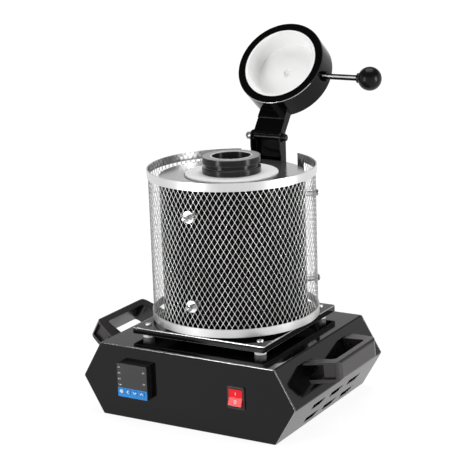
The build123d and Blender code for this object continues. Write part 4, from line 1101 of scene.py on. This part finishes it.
# %% Plate screws and inlet screws
def pan_head(radius, height):
    """Return a pan head: a short upright side, a rounded shoulder and a nearly flat top."""
    shoulder = [(radius * cos(a), height * (0.45 + 0.5 * sin(a))) for a in (0.0, 0.35, 0.7, 1.05)]
    return spun("pan head", [(0, 0), (radius, 0)] + shoulder + [(0.25 * radius, height), (0, height)])


def screw_set(name, radius, height, width, depth, columns, rows, seed, placing, stands_for):
    """Grow a grid of screws, put it in its place and settle it."""
    piece = grow(name, pan_head(radius, height), screw_tree, {
        "Slot Length": 1.2 * radius * mm, "Slot Width": 0.26 * radius * mm, "Slot Depth": 0.5 * height * mm,
        "Head Height": height * mm, "Width": width * mm, "Depth": depth * mm,
        "Columns": columns, "Rows": rows, "Seed": seed, "Material": zinc_plate})
    piece.data.transform(placing)
    settle(piece, "body", stands_for)


plate_top, plate_y = 1000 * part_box("furnace_plate")[1].z, 6.0
screw_set("plate_screw_set", radius=4.5, height=3.0, width=174, depth=170, columns=2, rows=2, seed=4,
          placing=Matrix.Translation((0, plate_y * mm, plate_top * mm)), stands_for=["plate_screws"])
inlet_x, inlet_z = 85.0, 51.0
inlet_face = 1000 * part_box("power_inlet")[1].y
facing_rear = Matrix.Translation((inlet_x * mm, inlet_face * mm, inlet_z * mm)) @ Matrix.Rotation(
    -pi / 2, 4, "X")
screw_set("inlet_screw_set", radius=2.9, height=1.8, width=40, depth=1, columns=2, rows=1, seed=7,
          placing=facing_rear, stands_for=())

# %% [markdown]
# ## Signs
# The controller and the rocker carry small printed signs: generic letters beside the lamps, four key
# symbols, and the I and O of a switch. An image could carry them, but a thin mesh stays sharp and has
# the few hundredths of a millimetre that screen ink has. Letters start as a text curve and become a
# mesh before they are placed.

# %% Helpers for letters
ink_height = 0.03


def facing_front(x, y, z):
    """Return the placing of a flat sign that faces -Y, with its own up along Z."""
    return Matrix(((1, 0, 0, x * mm), (0, 0, -1, y * mm), (0, 1, 0, z * mm), (0, 0, 0, 1)))


def letters(text, size, placing, into):
    """Write a word as a thin mesh and add it to a bmesh."""
    curve = bpy.data.curves.new(text, "FONT")
    curve.body, curve.size, curve.extrude = text, size * mm, ink_height * mm
    curve.align_x, curve.align_y, curve.resolution_u = "CENTER", "CENTER", 3
    draft = set_out(text, curve)
    bpy.context.view_layer.update()
    mesh = bpy.data.meshes.new_from_object(draft.evaluated_get(bpy.context.evaluated_depsgraph_get()))
    bpy.data.objects.remove(draft)
    mesh.transform(placing)
    into.from_mesh(mesh)


def printed(name, shapes, body):
    """Turn a bmesh of signs into a finished piece of white print."""
    bmesh.ops.recalc_face_normals(shapes, faces=shapes.faces)
    piece_of(name, mesh_of(shapes, name), printed_white, Matrix(), body)


print("letter helpers ready")

# %% [markdown]
# The arrows, the circles and the strokes of the switch are lines of even width. A bevelled curve would
# be round, so a ribbon is built from points: each joint is mitred, and the ribbon has a top, a bottom
# and walls.

# %% Helpers for lines
ink_foot = -0.02
least_mitre = 0.3


def ribbon_sides(points, width, closed):
    """Return the left and right point of a ribbon at each point of its middle."""
    count = len(points)
    sides = []
    for number, point in enumerate(points):
        here = Vector(point)
        before = Vector(points[number - 1]) if number or closed else None
        after = Vector(points[(number + 1) % count]) if number < count - 1 or closed else None
        came = (here - before).normalized() if before is not None else (after - here).normalized()
        goes = (after - here).normalized() if after is not None else came
        normal = Vector((-(came + goes).y, (came + goes).x)).normalized()
        reach = width / 2 / max(least_mitre, normal.dot(Vector((-came.y, came.x))))
        sides.append((here + normal * reach, here - normal * reach))
    return sides


def stroke(points, width, placing, into, closed=False):
    """Draw a flat printed line of even width through points, as a thin raised ribbon."""
    count = len(points)
    sides = ribbon_sides(points, width, closed)
    low, high = ([[into.verts.new(placing @ Vector((p.x * mm, p.y * mm, height * mm))) for p in pair]
                  for pair in sides] for height in (ink_foot, ink_height))
    for number in range(count if closed else count - 1):
        after = (number + 1) % count
        into.faces.new((high[number][0], high[number][1], high[after][1], high[after][0]))
        into.faces.new((low[number][0], low[after][0], low[after][1], low[number][1]))
        for side, order in ((0, 1), (1, -1)):
            wall = (low[number][side], high[number][side], high[after][side], low[after][side])
            into.faces.new(wall[::order])
    if not closed:
        for number, order in ((0, 1), (count - 1, -1)):
            cap = (low[number][0], low[number][1], high[number][1], high[number][0])
            into.faces.new(cap[::order])


def circle(radius, count=28):
    """Return points round a circle."""
    return [(radius * cos(2 * pi * n / count), radius * sin(2 * pi * n / count)) for n in range(count)]


print("line helpers ready")

# %% [markdown]
# Beside the window's lamps stand letters for the alarms, the tuning and the output, and beside its two
# rows of digits letters for the measured and the wanted value. Their places are read off the
# photograph, on the face of the window.

# %% Signs on the controller's window
letter_size = 3.4
window_face = 1000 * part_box("controller_window")[0].y
signs = bmesh.new()
for text, x, z in (("A1", -97.3, 75.4), ("A2", -97.3, 67.3), ("AT", -97.3, 58.9), ("OP", -96.6, 50.6),
                   ("PV", -58.2, 71.9), ("SV", -58.2, 56.4)):
    letters(text, letter_size, facing_front(x, window_face, z), signs)
printed("window_signs", signs, "body")

# %% [markdown]
# The four keys are marked with a ring and a small triangle, and with arrows to the left, down and up.
# A key moves when it is pressed, so each symbol is a piece of its own and rides on its key.

# %% Symbols on the keys
key_line = 0.95
key_face = 1000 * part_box("key_1")[0].y
key_middle = 42.0
key_shapes = {
    "key_1": [(circle(2.0), True), ([(-1.0, 0.6), (0, -0.9), (1.0, 0.6), (-1.0, 0.6)], False)],
    "key_2": [([(1.3, 2.2), (-1.4, 0), (1.3, -2.2)], False)],
    "key_3": [([(-2.5, 1.3), (0, -1.4), (2.5, 1.3)], False)],
    "key_4": [([(-2.5, -1.3), (0, 1.4), (2.5, -1.3)], False)],
}
for key, lines in key_shapes.items():
    low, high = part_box(key)
    placing = facing_front(500 * (low.x + high.x), key_face, key_middle)
    signs = bmesh.new()
    for points, closed in lines:
        stroke(points, key_line, placing, signs, closed)
    printed(key + "_symbol", signs, key.replace("key", "button"))

# %% [markdown]
# The rocker's two faces meet at a shallow angle. With its upper end pressed, as photographed, the
# upper face stands upright and the lower one leans out by twice the tilt. Each sign is drawn flat
# and then placed on its own face.

# %% Signs on the rocker
rocker_x, rocker_z, rocker_pivot_y = 77.5, 56.0, -125.7
rocker_tilt = radians(9)
rocker_depth, rocker_half = 5.0, 11.0
rocker_out = Vector((0, -cos(rocker_tilt), sin(rocker_tilt)))
rocker_up = Vector((0, sin(rocker_tilt), cos(rocker_tilt)))
ridge = Vector((rocker_x, rocker_pivot_y, rocker_z)) + rocker_out * rocker_depth
rocker_line = 0.8
upper_sign, lower_sign = 5.2, 5.6


def on_rocker(side, along):
    """Return the placing on the upper (1) or lower (-1) face, a distance from the ridge."""
    end = ridge + rocker_out * (rocker_half * sin(rocker_tilt)) + rocker_up * (side * rocker_half)
    lift = (end - ridge).normalized() * side
    normal = Vector((1, 0, 0)).cross(lift)
    spot = ridge + lift * side * along
    return Matrix(((1, 0, 0, spot.x * mm), (0, lift.y, normal.y, spot.y * mm),
                   (0, lift.z, normal.z, spot.z * mm), (0, 0, 0, 1)))


signs = bmesh.new()
oval = [(x * 0.85, y * 1.1) for x, y in circle(1.9)]
stroke([(0, -1.9), (0, 1.9)], rocker_line, on_rocker(1, upper_sign), signs)
stroke(oval, rocker_line, on_rocker(-1, lower_sign), signs, closed=True)
printed("rocker_signs", signs, "rocker")

# %% [markdown]
# ## Measure
# The last line measures the box of the dressed furnace and prints its size in millimetres.

# %% Measure the size
low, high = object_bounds()
print("visual box in mm:", [round(1000 * side, 1) for side in high - low])
